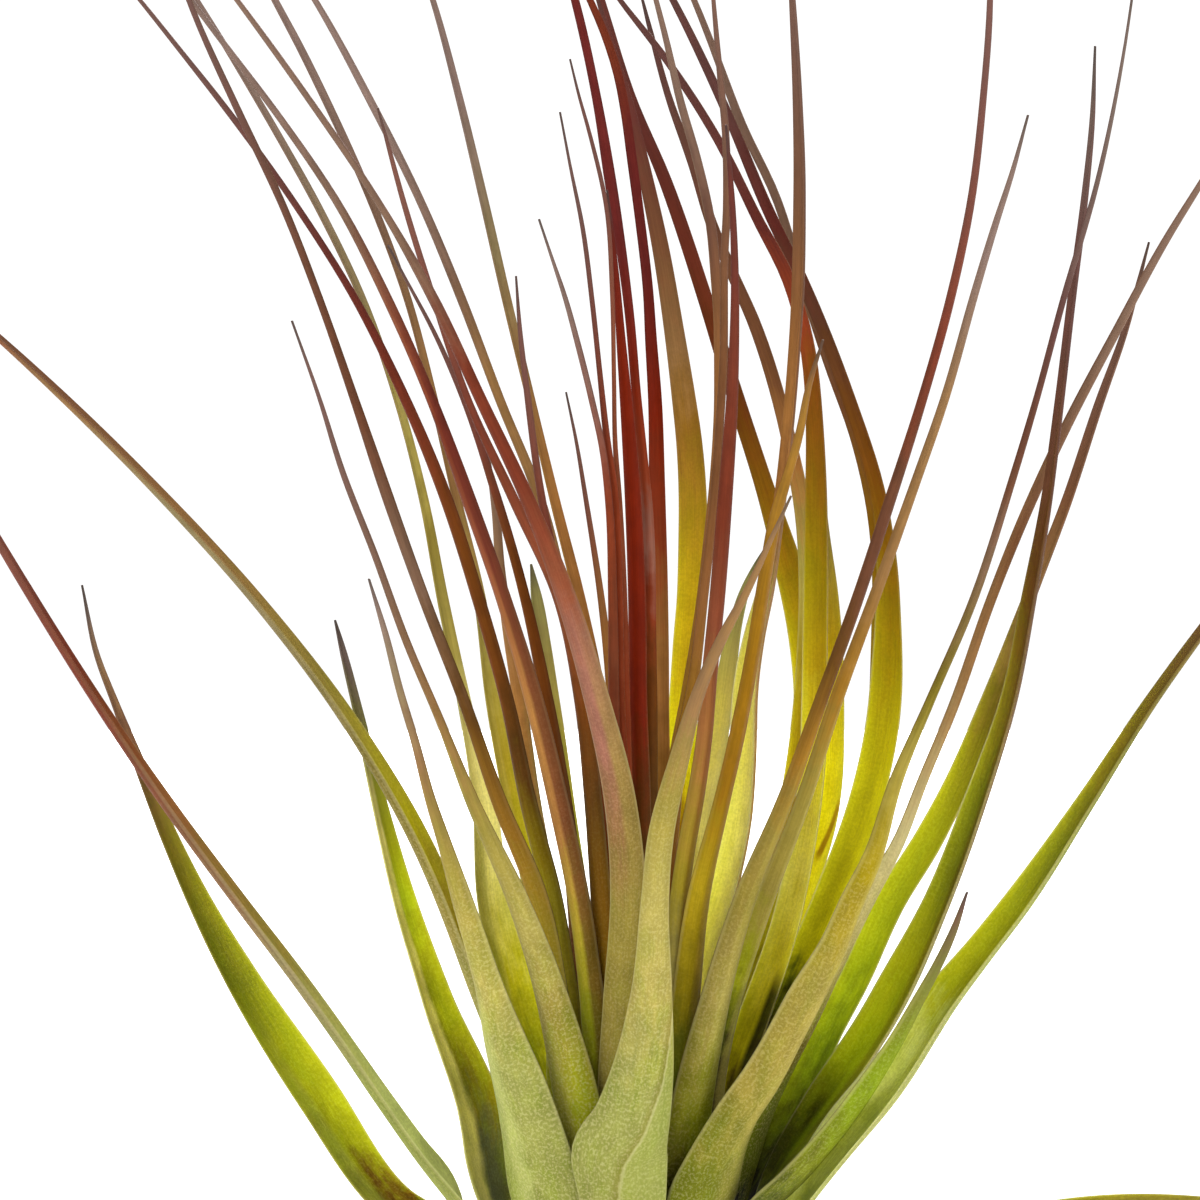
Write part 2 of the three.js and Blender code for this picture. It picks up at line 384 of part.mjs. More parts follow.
// A smooth curve through points of any size, spaced by the distance between them
function curve(points) {
  const at = [0];
  for (let i = 1; i < points.length; i++) {
    const [a, b] = [points[i - 1], points[i]];
    at.push(at[i - 1] + Math.hypot(b[0] - a[0], b[1] - a[1], b[2] - a[2]));
  }
  const last = points.length - 1;
  const chord = (i, k) => (points[i + 1][k] - points[i][k]) / (at[i + 1] - at[i]);
  const slope = (i, k) => {
    if (i === 0 || i === last) {
      return chord(Math.min(i, last - 1), k);
    }
    const before = chord(i - 1, k);
    const after = chord(i, k);
    if (before * after <= 0) {
      return 0;
    }
    const p = at[i] - at[i - 1];
    const q = at[i + 1] - at[i];
    const most = STEEPEST * Math.min(Math.abs(before), Math.abs(after));
    return Math.max(-most, Math.min(most, (before * q + after * p) / (p + q)));
  };
  const sample = (s) => {
    let i = 0;
    while (i < last - 1 && s > at[i + 1]) {
      i++;
    }
    const h = at[i + 1] - at[i];
    const t = (s - at[i]) / h;
    const value = [];
    const rate = [];
    for (let k = 0; k < points[0].length; k++) {
      const step = points[i + 1][k] - points[i][k];
      const m = slope(i, k) * h;
      const n = slope(i + 1, k) * h;
      const square = 3 * step - 2 * m - n;
      const cube = m + n - 2 * step;
      value.push(points[i][k] + t * (m + t * (square + t * cube)));
      rate.push((m + t * (2 * square + 3 * t * cube)) / h);
    }
    return { value, rate };
  };
  return { length: at[last], sample };
}

// Rises smoothly from 0 to 1
function ease(x) {
  const t = Math.min(1, Math.max(0, x));
  return t * t * (3 - 2 * t);
}

function surface(tint) {
  return new THREE.MeshStandardMaterial({ color: TINTS[tint], roughness: 0.75, metalness: 0 });
}

// One cross-section of a leaf: the outer face from edge to edge, then the inner face back again
function section(path, s, inward, turn, form) {
  const { value, rate } = path.sample(s);
  const centre = new THREE.Vector3(value[0], value[1], value[2]);
  const along = new THREE.Vector3(rate[0], rate[1], rate[2]).normalize();
  const blade = ease((s - SHEATH_LENGTH) / BLADE_FROM);
  const facing = inward.clone().add(new THREE.Vector3(0, -turn * ease((s - TURN_START) / TURN_OVER), 0));
  const inner = facing.addScaledVector(along, -facing.dot(along)).normalize();
  const side = new THREE.Vector3().crossVectors(along, inner);
  const across = new THREE.Vector3().crossVectors(along, centre.clone().sub(EYE)).normalize();
  const width = Math.max(MIN_WIDTH, value[3]);
  const hollow = SHEATH_HOLLOW + (form.hollow - SHEATH_HOLLOW) * blade;
  let half = width / 2;
  if (form.drawn) {
    const seen = ACROSS.map((c) => half * (c * side.dot(across) + hollow * c * c * inner.dot(across)));
    const low = Math.min(...seen);
    const high = Math.max(...seen);
    const grow = Math.min(MOST_GROW, Math.max(1, (width - BLADE / 2) / (high - low)));
    const share = 1 + ease((s - GROW_FROM) / GROW_OVER) * (grow - 1);
    half *= share;
    centre.addScaledVector(across, (-blade * share * (low + high)) / 2);
  }
  const point = (c, sign) => {
    const edge = Math.abs(c) === 1;
    const thick = edge ? MARGIN * Math.min(MOST_SLOPE, Math.hypot(1, 2 * hollow)) : BLADE;
    const rise = hollow * half * c * c + (sign * thick) / 2;
    return centre.clone().addScaledVector(side, c * half).addScaledVector(inner, rise);
  };
  return [...ACROSS.map((c) => point(c, -1)), ...ACROSS.map((c) => point(-c, 1))];
}

// One leaf as a closed solid: a channelled band swept from its root to its tip
function leafSolid(name, tint, points, azimuth, turn, form) {
  const path = curve(points);
  const inward = new THREE.Vector3(-Math.cos(azimuth), -Math.sin(azimuth), form.lift);
  const rings = [];
  for (let i = 0; i < STATIONS; i++) {
    const s = path.length * Math.pow(i / (STATIONS - 1), CROWDING);
    rings.push(section(path, s, inward, turn, form));
  }
  return band(name, tint, rings);
}

// Joins cross-sections into one closed mesh with its faces pointing out
function band(name, tint, rings) {
  const n = rings[0].length;
  const coords = rings.flat().flatMap((p) => [p.x, p.y, p.z]);
  const faces = [];
  for (let r = 0; r + 1 < rings.length; r++) {
    for (let i = 0; i < n; i++) {
      const a = r * n + i;
      const b = r * n + ((i + 1) % n);
      faces.push(a, b + n, b, a, a + n, b + n);
    }
  }
  const top = (rings.length - 1) * n;
  for (let a = 0; a + 1 < n / 2; a++) {
    const [b, c, d] = [a + 1, n - 2 - a, n - 1 - a];
    faces.push(a, b, c, a, c, d);
    faces.push(top + a, top + c, top + b, top + a, top + d, top + c);
  }
  const geometry = new THREE.BufferGeometry();
  geometry.setAttribute("position", new THREE.Float32BufferAttribute(coords, 3));
  geometry.setIndex(faces);
  const mesh = new THREE.Mesh(geometry, surface(tint));
  mesh.name = name;
  return mesh;
}

// A leaf's azimuth, and its points from the root on the stem out and up to the top of its sheath
function withRoot(rank, first) {
  const height = FIRST_ROOT + ((LAST_ROOT - FIRST_ROOT) * rank) / (LOW.length + LEAVES.length - 1);
  const azimuth = Math.atan2(first[1], first[0]);
  const narrow = ROOT_WIDTH * stemRadius(height);
  const reach = Math.hypot(first[0], first[1]);
  const out = ROOT[1][0] * (reach - stemRadius(height) - SEAT);
  const rise = ROOT[1][1] * (first[2] - height);
  const start = stemRadius(height) + SEAT + (UPRIGHT_ROOM * rise) / Math.hypot(out, rise);
  const points = ROOT.map(([outward, upward, widening]) => {
    const r = start + (reach - start) * outward;
    const z = height + (first[2] - height) * upward;
    return [r * Math.cos(azimuth), r * Math.sin(azimuth), z, narrow + (first[3] - narrow) * widening];
  });
  return { azimuth, points };
}

function stemSolid() {
  const shoulder = CROWN_HEIGHT - BEVEL;
  const profile = [
    [0, 0],
    [FOOT_RADIUS, 0],
    [STEM_RADIUS - BEVEL / 2, FOOT_HEIGHT / 2],
    [STEM_RADIUS, FOOT_HEIGHT],
    [stemRadius(shoulder), shoulder],
    [CROWN_RADIUS - BEVEL / 2, CROWN_HEIGHT],
    [0, CROWN_HEIGHT],
  ];
  const geometry = new THREE.LatheGeometry(profile.map(([x, y]) => new THREE.Vector2(x, y)), STEM_SIDES);
  geometry.rotateX(Math.PI / 2);
  const mesh = new THREE.Mesh(geometry, surface("stem"));
  mesh.name = "stem";
  return mesh;
}

const plant = new THREE.Group();
plant.name = "tillandsia_tricolor";
plant.add(stemSolid());

LOW.forEach(([name, tint, degrees, bend, reach], rank) => {
  const far = reach.at(-1)[0];
  const path = reach.map(([r, z, width]) => {
    const angle = THREE.MathUtils.degToRad(degrees + bend * (r / far) ** 2);
    return [r * Math.cos(angle), r * Math.sin(angle), z, width];
  });
  const root = withRoot(rank, path[0]);
  plant.add(leafSolid(name, tint, [...root.points, ...path], root.azimuth, 0, LOW_FORM));
});

LEAVES.forEach(([name, tint, turn, drawn], i) => {
  const path = drawnPath(drawn);
  const root = withRoot(LOW.length + i, path[0]);
  const ringTurn = RING_TURN * Math.abs(Math.cos(root.azimuth)) * Math.sign(Math.sin(root.azimuth));
  plant.add(leafSolid(name, tint, [...root.points, ...path], root.azimuth, turn ?? ringTurn, LEAF_FORM));
});

for (const [name, tint, root, degrees, drawn] of CROWN) {
  const base = [CROWN_HEIGHT + SEAT, CROWN_HEIGHT + 2].map((z) => [...root, z, CROWN_ROOT_WIDTH]);
  const azimuth = THREE.MathUtils.degToRad(degrees);
  plant.add(leafSolid(name, tint, [...base, ...drawnPath(drawn)], azimuth, 0, CROWN_FORM));
}

export default plant;
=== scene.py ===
import math

import bpy
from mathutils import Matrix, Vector


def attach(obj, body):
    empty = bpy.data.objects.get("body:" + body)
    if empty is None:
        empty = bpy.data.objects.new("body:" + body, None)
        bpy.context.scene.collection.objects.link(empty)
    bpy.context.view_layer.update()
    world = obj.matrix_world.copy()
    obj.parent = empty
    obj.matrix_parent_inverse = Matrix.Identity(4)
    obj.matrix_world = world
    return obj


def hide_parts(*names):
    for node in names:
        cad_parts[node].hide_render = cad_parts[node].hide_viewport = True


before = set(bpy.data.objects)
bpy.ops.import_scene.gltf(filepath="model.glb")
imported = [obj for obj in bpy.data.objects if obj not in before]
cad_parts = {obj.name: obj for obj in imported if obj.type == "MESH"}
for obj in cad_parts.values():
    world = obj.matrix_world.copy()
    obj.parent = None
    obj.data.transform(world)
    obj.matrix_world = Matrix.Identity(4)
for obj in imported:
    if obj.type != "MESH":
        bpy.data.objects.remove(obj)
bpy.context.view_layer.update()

# An upright air plant. The leaf paths and the way a leaf is swept are those of the frame's solids,
# in millimetres; each leaf gets many more cross-sections, thin rolled margins and its own colours.

MM = 0.001
UNIT = 1 / 7                     # size of one drawing unit of the leaf paths
SIGHT = 1000                     # distance from which the front elevation is drawn
TIP = math.pi / 36               # how far the front elevation looks down
AIM = Vector((-4, 0, 800 * UNIT))
EYE = Vector((AIM.x, -SIGHT * math.cos(TIP), AIM.z + SIGHT * math.sin(TIP)))

FOOT_HEIGHT = 3
STEM_RADIUS = 8
CROWN_RADIUS = 3.5
CROWN_HEIGHT = 25
FIRST_ROOT = 2.6
LAST_ROOT = 23.2
SEAT = 0.3
UPRIGHT_ROOM = 0.5
ROOT_WIDTH = 0.5
CROWN_ROOT_WIDTH = 2
BLADE = 0.8                      # thickness along the middle of a leaf
EDGE = 0.24                      # thickness at its margins
MIN_WIDTH = 0.3
SHEATH_LENGTH = 20
BLADE_FROM = 35
SHEATH_HOLLOW = 0.17
TURN_START = 10
TURN_OVER = 40
RING_TURN = 0.7
MOST_GROW = 1.5
GROW_FROM = 10
GROW_OVER = 20
MOST_LEAN = 48
LEAN_RADIUS = 18
LEAN_POWER = 1.25
SHEATH_TOP = 200
LEAF_TOP = 1400
STATIONS = 110                   # cross-sections along a leaf
CROWDING = 1.25
POINTS = 11                      # points across each face
STEEPEST = 2.5
ROOT = [(0, 0, 0), (0.3, 0.06, 0.3), (0.64, 0.3, 0.66)]
LOW_FORM = {"lift": 1, "hollow": 0.5, "drawn": False}
LEAF_FORM = {"lift": 0.6, "hollow": 0.62, "drawn": True}
CROWN_FORM = {"lift": 0, "hollow": 0.5, "drawn": True}
HIGH = 1600                      # drawing height at which the colour ramps end

# Low leaves, from the stem outward: name, tint, azimuth and bend in degrees, and a path of
# [reach, height, width]
LOW = [
  ["right_level", "green", 4, -10, [
    [17, 8, 7.6], [36, 17.4, 7.6], [57, 24, 6.4], [77, 26.2, 5], [97, 23.8, 3.6], [116, 13.6, 2.2],
    [131, 1.8, 1.1]]],
  ["low_front", "green", -98, 10, [
    [16, 8.5, 9], [33, 15.5, 8], [52, 18.5, 6], [70, 15, 4.2], [84, 7.6, 2.4], [93, 1.2, 1.1]]],
  ["low_back_left", "green", 130, -4, [
    [16, 8, 9], [35, 15, 8], [56, 17, 6], [76, 13, 4.2], [92, 5.4, 2.4], [100, 1.2, 1.1]]],
  ["low_back_right", "green", 62, 9, [
    [16, 8, 9], [34, 13.5, 8], [54, 15.5, 6], [72, 12.4, 4.2], [88, 5.8, 2.4], [97, 1.2, 1.1]]],
]

# Leaves in order from the lowest to the youngest: name, tint, turn, [across, up, depth away, width]
LEAVES = [
  ["left_wide", "green", 1.3, [
    [-144, 136, 6, 40], [-238, 198, 8, 42], [-308, 302, 10, 46], [-385, 420, 13, 36],
    [-429, 500, 15, 26], [-457, 560, 16, 20], [-490, 640, 18, 13], [-514, 700, 19, 8],
    [-531, 745, 20, 6], [-546, 815, 21, 2]]],
  ["right_low_long", "green", 0.9, [
    [171, 190, -7.8, 54], [210, 258, -9.8, 49], [269, 338, -10.6, 43], [311, 400, -10.8, 37],
    [351, 450, -11.8, 31], [390, 500, -12.6, 29], [458, 600, -14.4, 20], [523, 700, -16, 14],
    [572, 768, -18, 12], [640, 856, -20, 8], [715, 945, -22, 2]]],
  ["back_brown", "tan", None, [
    [131, 200, 13.6, 36], [163, 400, 17.6, 30], [205, 505, 19, 26], [238, 600, 20.2, 26],
    [252, 700, 20.4, 24], [253, 800, 19.6, 20], [245, 890, 18, 14], [228, 960, 16.4, 11],
    [200, 1038, 14.6, 10], [178, 1105, 13, 9.5], [147, 1205, 11, 9], [114, 1275, 9, 9],
    [84, 1355, 7, 7], [66, 1400, 6, 6], [28, 1480, 4, 2]]],
  ["front_right_pale", "olive", 0, [
    [78, 200, -18, 68], [91, 240, -19.2, 56], [108, 280, -20.4, 45], [132, 320, -21.2, 41],
    [154, 360, -22.1, 38], [175, 400, -23, 37], [205, 455, -24, 29], [224, 500, -25, 25],
    [243, 540, -26, 21], [268, 620, -28, 15], [302, 700, -30, 10], [345, 800, -32, 9],
    [384, 920, -34, 8], [408, 1000, -35, 7], [435, 1100, -36, 6.5], [470, 1221, -37, 5],
    [496, 1349, -38, 3], [508, 1430, -38.5, 2]]],
  ["left_low", "rust", 0.5, [
    [-176, 200, -9, 56], [-210, 250, -10, 33], [-243, 300, -11, 24], [-327, 420, -14, 20],
    [-388, 500, -16, 18], [-462, 600, -19, 16], [-530, 700, -22, 13], [-593, 800, -24, 11],
    [-658, 910, -26, 8], [-733, 1055, -28, 2]]],
  ["front_centre", "olive", 0, [
    [-6, 200, -22.4, 88], [-9, 236, -23.2, 97], [4, 280, -24.2, 76], [13, 320, -25, 63],
    [23, 400, -26.8, 42], [27, 500, -28.2, 28], [33, 565, -29.5, 26], [51, 640, -31, 20],
    [68, 700, -32, 14], [93, 760, -33, 11], [117, 805, -34, 8], [145, 865, -35, 4.5],
    [163, 904, -35.5, 2]]],
  ["left_upright", "green", 1.1, [
    [-137, 200, 2.5, 54], [-154, 300, 4, 46], [-190, 400, 6, 33], [-223, 500, 9, 25],
    [-249, 600, 12, 17], [-270, 690, 15, 11], [-285, 750, 17, 7], [-293, 780, 18, 2]]],
  ["back_gold", "gold", None, [
    [86, 200, 17.2, 38], [115, 340, 20.4, 36], [148, 440, 22.2, 34], [177, 520, 23.3, 32],
    [197, 590, 23.8, 30], [203, 650, 23.8, 28], [203, 710, 23.5, 28], [199, 800, 22, 25],
    [193, 870, 21, 17], [188, 940, 20, 11], [185, 1010, 19, 2]]],
  ["right_short", "green", 0.3, [
    [140, 190, -12.6, 60], [169, 220, -13.4, 55], [208, 270, -14, 42], [240, 318, -15, 31],
    [267, 360, -16, 22], [292, 405, -17, 15], [311, 440, -17.5, 11], [325, 470, -18, 8],
    [339, 508, -18.5, 2]]],
  ["front_left_broad", "olive", 0, [
    [-86, 200, -16.4, 76], [-98, 260, -18.2, 65], [-111, 320, -20, 53], [-137, 410, -23, 30],
    [-165, 500, -26, 22], [-184, 560, -28, 15], [-197, 600, -29.5, 12], [-213, 660, -31.5, 9],
    [-228, 710, -33, 8], [-242, 765, -35, 6.5], [-259, 821, -37, 2]]],
  ["right_dark", "green", 0.8, [
    [137, 200, 0, 34], [198, 300, -0.2, 37], [259, 400, -1.2, 38], [309, 500, -3.4, 28],
    [347, 600, -6, 24], [380, 700, -9.6, 18], [400, 800, -13.6, 16], [418, 900, -17.6, 12],
    [431, 1000, -20.5, 10], [443, 1100, -23, 9], [456, 1200, -25, 7.5], [464, 1280, -26.5, 5.5],
    [467, 1354, -28, 2]]],
  ["back_broad_right", "gold", None, [
    [110, 200, 11.4, 36], [150, 380, 13.5, 35], [200, 500, 15, 33], [238, 600, 16, 36],
    [257, 700, 15.6, 35], [260, 800, 15.2, 26], [250, 905, 13.6, 17], [221, 1000, 12, 14.5],
    [176, 1115, 9.6, 13], [140, 1190, 8, 12], [100, 1285, 6, 10], [45, 1400, 3, 7],
    [-15, 1505, 0, 2]]],
  ["sweep_back_lime", "olive", None, [
    [-78, 200, 12.8, 40], [-82, 300, 14, 44], [-109, 400, 15, 42], [-134, 500, 16, 36],
    [-144, 600, 16, 26], [-164, 700, 15, 15], [-185, 800, 13, 12.5], [-204, 900, 11, 10],
    [-230, 1000, 9, 8.5], [-265, 1100, 7, 8], [-308, 1190, 5, 8], [-348, 1262, 4, 7.5],
    [-388, 1330, 3, 6.5], [-431, 1400, 2, 5], [-480, 1478, 1, 2]]],
  ["front_right_rear", "olive", 0, [
    [112, 200, -7, 48], [148, 320, -8, 46], [188, 410, -8.5, 38], [236, 500, -9, 25],
    [268, 555, -9, 15], [294, 620, -9, 11], [325, 695, -8, 10.5], [362, 800, -6.6, 10],
    [394, 880, -5.6, 11], [438, 975, -4.6, 10.5], [486, 1066, -4, 9], [539, 1163, -4, 7.5],
    [572, 1216, -4, 6], [637, 1322, -5, 2]]],
  ["front_left_tall", "olive", 0, [
    [-40, 200, -15.6, 54], [-53, 300, -17.5, 48], [-75, 400, -20, 35], [-110, 500, -23, 24],
    [-156, 600, -26, 15], [-188, 680, -28.5, 9], [-222, 760, -31, 8], [-253, 845, -33.5, 7],
    [-286, 930, -36, 6], [-308, 1000, -38, 4], [-336, 1079, -40, 2]]],
  ["back_amber", "gold", None, [
    [52, 200, 15.2, 38], [84, 280, 16.3, 38], [122, 410, 18.2, 36], [156, 540, 19, 36],
    [178, 630, 18.7, 37], [183, 700, 18.6, 36], [176, 770, 18, 34], [160, 835, 17, 28],
    [136, 915, 15.4, 19], [107, 1005, 13, 17], [76, 1105, 10.6, 15], [37, 1220, 7.6, 13],
    [4, 1300, 5.1, 10], [-26, 1400, 3.4, 6], [-50, 1480, 2, 2]]],
  ["right_lime", "green", 0.8, [
    [119, 200, 6.4, 32], [172, 300, 7.4, 35], [200, 370, 8.2, 33], [226, 420, 8.7, 32],
    [263, 500, 9.2, 32], [300, 560, 9.2, 31], [326, 610, 9, 28], [363, 700, 8.4, 22],
    [400, 800, 7, 15], [437, 895, 5, 12], [472, 1000, 4, 10], [497, 1070, 3, 7],
    [521, 1158, 2, 2]]],
  ["front_right_tall", "tan", None, [
    [53, 200, -15, 50], [68, 310, -17.5, 42], [92, 420, -20, 30], [118, 505, -21.5, 24],
    [157, 600, -24, 18], [193, 700, -26.5, 14.5], [229, 800, -29, 13], [262, 900, -31, 12],
    [294, 1000, -33, 10], [322, 1100, -34.8, 9.3], [344, 1205, -36.5, 8], [355, 1300, -37.5, 7],
    [362, 1400, -38.5, 6], [362, 1490, -39, 2]]],
  ["left_long", "olive", 0.6, [
    [-108, 200, -5, 46], [-123, 340, -6.5, 38], [-162, 455, -8, 31], [-207, 560, -10, 26],
    [-278, 680, -13, 19], [-368, 798, -17, 14], [-468, 908, -21, 11], [-568, 1007, -25, 9],
    [-658, 1088, -28, 6], [-743, 1157, -31, 2]]],
  ["back_olive_tall", "gold", None, [
    [70, 200, 11.6, 36], [88, 320, 13.2, 34], [118, 430, 14.4, 30], [145, 520, 15, 27],
    [165, 610, 14.9, 25], [176, 700, 14.9, 23], [180, 800, 14.4, 20], [173, 900, 13.6, 17],
    [163, 950, 13, 15.5], [151, 1000, 12.4, 14.5], [125, 1080, 11, 13], [105, 1125, 9.5, 12],
    [84, 1175, 9, 11.5], [65, 1235, 8, 9.5], [40, 1305, 7, 7], [23, 1367, 6.5, 5],
    [12, 1410, 6, 2]]],
  ["sweep_back_olive", "olive", None, [
    [-46, 200, 12.2, 34], [-58, 300, 12.5, 34], [-74, 400, 13, 30], [-91, 500, 12.5, 26],
    [-114, 600, 11.5, 23], [-134, 700, 10, 18], [-148, 800, 8, 13], [-171, 900, 6, 9.5],
    [-194, 1000, 4, 8.5], [-220, 1100, 2, 8], [-259, 1205, 0, 8], [-302, 1300, -2, 8.5],
    [-328, 1353, -3, 8], [-353, 1400, -4, 7], [-388, 1470, -5, 5], [-420, 1535, -6, 2]]],
  ["front_centre_tall", "tan", None, [
    [-6, 200, -13.8, 46], [-10, 300, -15.8, 42], [-6, 400, -17.8, 38], [0, 500, -19.8, 36],
    [-8, 600, -22, 32], [-31, 700, -24, 26], [-61, 800, -26, 21], [-100, 900, -28, 15],
    [-147, 1000, -29, 12], [-194, 1100, -30, 11], [-251, 1200, -31, 7], [-320, 1302, -32, 6.5],
    [-391, 1400, -33, 5], [-453, 1480, -34, 2]]],
  ["front_right_second", "tan", None, [
    [76, 200, -10.2, 42], [82, 310, -12.5, 36], [101, 400, -14.5, 28], [136, 500, -17, 21],
    [175, 600, -20, 17], [208, 700, -23, 15], [245, 800, -26, 13], [288, 920, -29, 10.5],
    [316, 1000, -31, 9.5], [348, 1112, -33, 8.5], [368, 1178, -34, 7], [384, 1227, -34.5, 5],
    [400, 1285, -35, 2]]],
  ["sweep_brown", "rust", None, [
    [-64, 200, -10, 38], [-67, 300, -11.6, 34], [-72, 400, -13.2, 28], [-89, 500, -15, 22],
    [-129, 600, -17, 17], [-164, 700, -19.5, 13], [-203, 800, -21, 12.5], [-239, 900, -22.5, 13],
    [-273, 1000, -24, 9.5], [-308, 1100, -25, 8], [-343, 1190, -26, 8], [-390, 1290, -27, 7.5],
    [-431, 1380, -27.5, 6], [-458, 1450, -28, 5], [-490, 1525, -28.5, 2]]],
  ["back_yellow_tall", "gold", None, [
    [76, 200, 7.6, 38], [98, 290, 8.6, 36], [130, 390, 9.6, 33], [158, 480, 10.2, 30],
    [175, 560, 10.4, 28], [185, 650, 10.4, 28], [187, 760, 10, 27], [188, 880, 8.5, 25],
    [186, 985, 7, 19], [178, 1060, 6, 16], [160, 1122, 5, 14], [130, 1180, 4, 11], [90, 1260, 3, 9],
    [40, 1338, 2, 7.5], [-8, 1400, 1, 5], [-50, 1458, 0, 2]]],
  ["front_orange", "rust", None, [
    [50, 200, -11.5, 40], [52, 300, -12.5, 36], [58, 400, -14, 31], [70, 500, -16.5, 25],
    [94, 600, -19.5, 18], [108, 660, -22, 17], [127, 760, -25, 15], [138, 830, -28, 14],
    [149, 890, -30, 13], [161, 930, -31, 10], [171, 965, -32, 8.5], [181, 1015, -33, 6],
    [195, 1060, -34, 2]]],
  ["back_yellow_wide", "gold", None, [
    [16, 200, 11, 38], [28, 350, 12.5, 36], [40, 500, 13.5, 33], [50, 600, 14, 30],
    [56, 700, 14, 30], [60, 760, 13.5, 30], [64, 810, 13, 30], [65, 880, 12.5, 29],
    [61, 960, 11.5, 26], [56, 1000, 11, 24], [46, 1070, 10, 20], [33, 1150, 9, 17],
    [18, 1222, 8.6, 14], [0, 1300, 7.8, 9], [-18, 1360, 6, 6], [-38, 1425, 5, 2]]],
  ["sweep_rose", "maroon", None, [
    [-25, 200, -12, 40], [-28, 300, -13.7, 34], [-36, 400, -14.6, 26], [-49, 500, -15.8, 23],
    [-70, 600, -16.8, 22], [-94, 700, -17.6, 20], [-124, 800, -18.2, 16], [-159, 900, -18.8, 15],
    [-196, 1000, -19, 11], [-240, 1100, -19, 10], [-288, 1193, -19, 8], [-348, 1282, -19, 7],
    [-403, 1355, -19, 6], [-437, 1400, -19, 5], [-478, 1460, -19, 3.5], [-510, 1510, -19, 2]]],
  ["front_rose", "maroon", None, [
    [24, 200, -11.3, 36], [32, 320, -12, 30], [43, 400, -12.6, 24], [51, 500, -13.4, 20],
    [58, 550, -13.8, 19], [68, 605, -14.2, 18], [76, 660, -14.6, 16.5], [82, 730, -15, 16],
    [89, 800, -15, 16], [97, 900, -15, 15], [104, 1000, -15, 12], [107, 1100, -15, 8.5],
    [106, 1160, -15, 7], [104, 1200, -15, 6], [101, 1240, -15, 4], [98, 1275, -15, 2]]],
  ["short_green_tip", "green", None, [
    [-31, 200, 9.6, 30], [-36, 300, 9.7, 29], [-40, 400, 9, 26], [-50, 500, 8.5, 23],
    [-62, 590, 8, 20], [-71, 660, 7, 18.5], [-77, 700, 6.5, 18], [-85, 760, 5.5, 15],
    [-91, 800, 5, 12], [-97, 836, 4.5, 2]]],
  ["sweep_maroon", "maroon", None, [
    [-47, 200, -8.2, 36], [-53, 300, -9, 32], [-61, 400, -9.7, 26], [-75, 500, -10.6, 22],
    [-100, 600, -11.6, 19], [-121, 700, -12.6, 15.5], [-149, 800, -12.8, 14.5],
    [-181, 900, -13, 14], [-222, 1000, -13, 11], [-272, 1100, -13, 8], [-328, 1189, -13, 7],
    [-403, 1293, -13, 6.5], [-448, 1350, -13, 5], [-488, 1400, -13, 4], [-540, 1462, -13, 2]]],
  ["sweep_red_thin", "rust", None, [
    [-10, 200, -9.9, 26], [-15, 300, -11.3, 26], [-20, 400, -12.6, 25], [-27, 500, -14.2, 21],
    [-35, 600, -15.6, 18], [-46, 700, -17, 16], [-68, 800, -18.3, 13], [-114, 900, -19.5, 10.5],
    [-160, 1000, -20.3, 7.5], [-194, 1100, -21, 6.5], [-225, 1200, -21.5, 5.5],
    [-240, 1255, -21.8, 4], [-250, 1292, -22, 2]]],
  ["tall_tan", "tan", None, [
    [60, 200, 1.5, 36], [66, 330, 3, 34], [78, 455, 4.5, 32], [98, 525, 5, 30], [109, 580, 5, 29],
    [114, 640, 4, 28], [117, 710, 2, 26], [126, 765, 0, 22], [137, 810, -2, 18],
    [148, 875, -5, 13.5], [158, 960, -8, 12.5], [165, 1040, -10, 12.5], [170, 1130, -12, 13.5],
    [171, 1210, -13, 13], [169, 1300, -14, 10.5], [164, 1400, -15, 7], [158, 1490, -16, 2]]],
  ["sweep_olive", "olive", None, [
    [-46, 200, 5.9, 30], [-40, 300, 6, 29], [-28, 400, 6, 28], [-16, 500, 5.5, 24],
    [-16, 600, 4.5, 20], [-28, 700, 3.5, 16], [-48, 800, 2.5, 13], [-73, 900, 2, 11],
    [-97, 1000, 2, 9.5], [-121, 1100, 2, 10], [-144, 1200, 2, 9.5], [-168, 1300, 3, 8],
    [-195, 1400, 4, 6], [-222, 1478, 5, 4], [-245, 1540, 5, 2]]],
  ["back_rose", "maroon", None, [
    [22, 200, -8.3, 23], [27, 320, -9.5, 24], [32, 450, -10.3, 23], [41, 560, -11, 19],
    [52, 650, -11.6, 15], [64, 710, -12, 12], [75, 800, -12.4, 10], [86, 900, -12.6, 9],
    [92, 980, -12.6, 8.5], [96, 1060, -12.6, 8], [96, 1130, -12.6, 8], [99, 1200, -12.6, 8],
    [98, 1260, -12.6, 7.5], [93, 1315, -12.6, 6.5], [88, 1370, -12.6, 5], [84, 1420, -12.6, 3.5],
    [82, 1470, -12.6, 2]]],
  ["back_green_short", "green", None, [
    [40, 200, 7.2, 32], [46, 400, 8.6, 30], [60, 500, 9.2, 28], [74, 590, 8.7, 26],
    [85, 640, 8.2, 25], [93, 690, 7.4, 24], [100, 735, 6, 20], [107, 775, 5, 15], [117, 810, 4, 10],
    [128, 835, 3.5, 5], [136, 850, 3, 2]]],
  ["sweep_dark_thin", "rust", None, [
    [-42, 200, -4.2, 26], [-46, 300, -4.6, 25], [-47, 400, -5.2, 23], [-52, 500, -6.4, 20],
    [-64, 600, -8, 17.5], [-81, 700, -9, 15], [-102, 800, -9.5, 11.5], [-130, 900, -10, 9.5],
    [-164, 1000, -10, 6], [-190, 1060, -10, 4.5], [-228, 1132, -10, 2.5], [-240, 1155, -10, 2]]],
  ["red_spear", "maroon", None, [
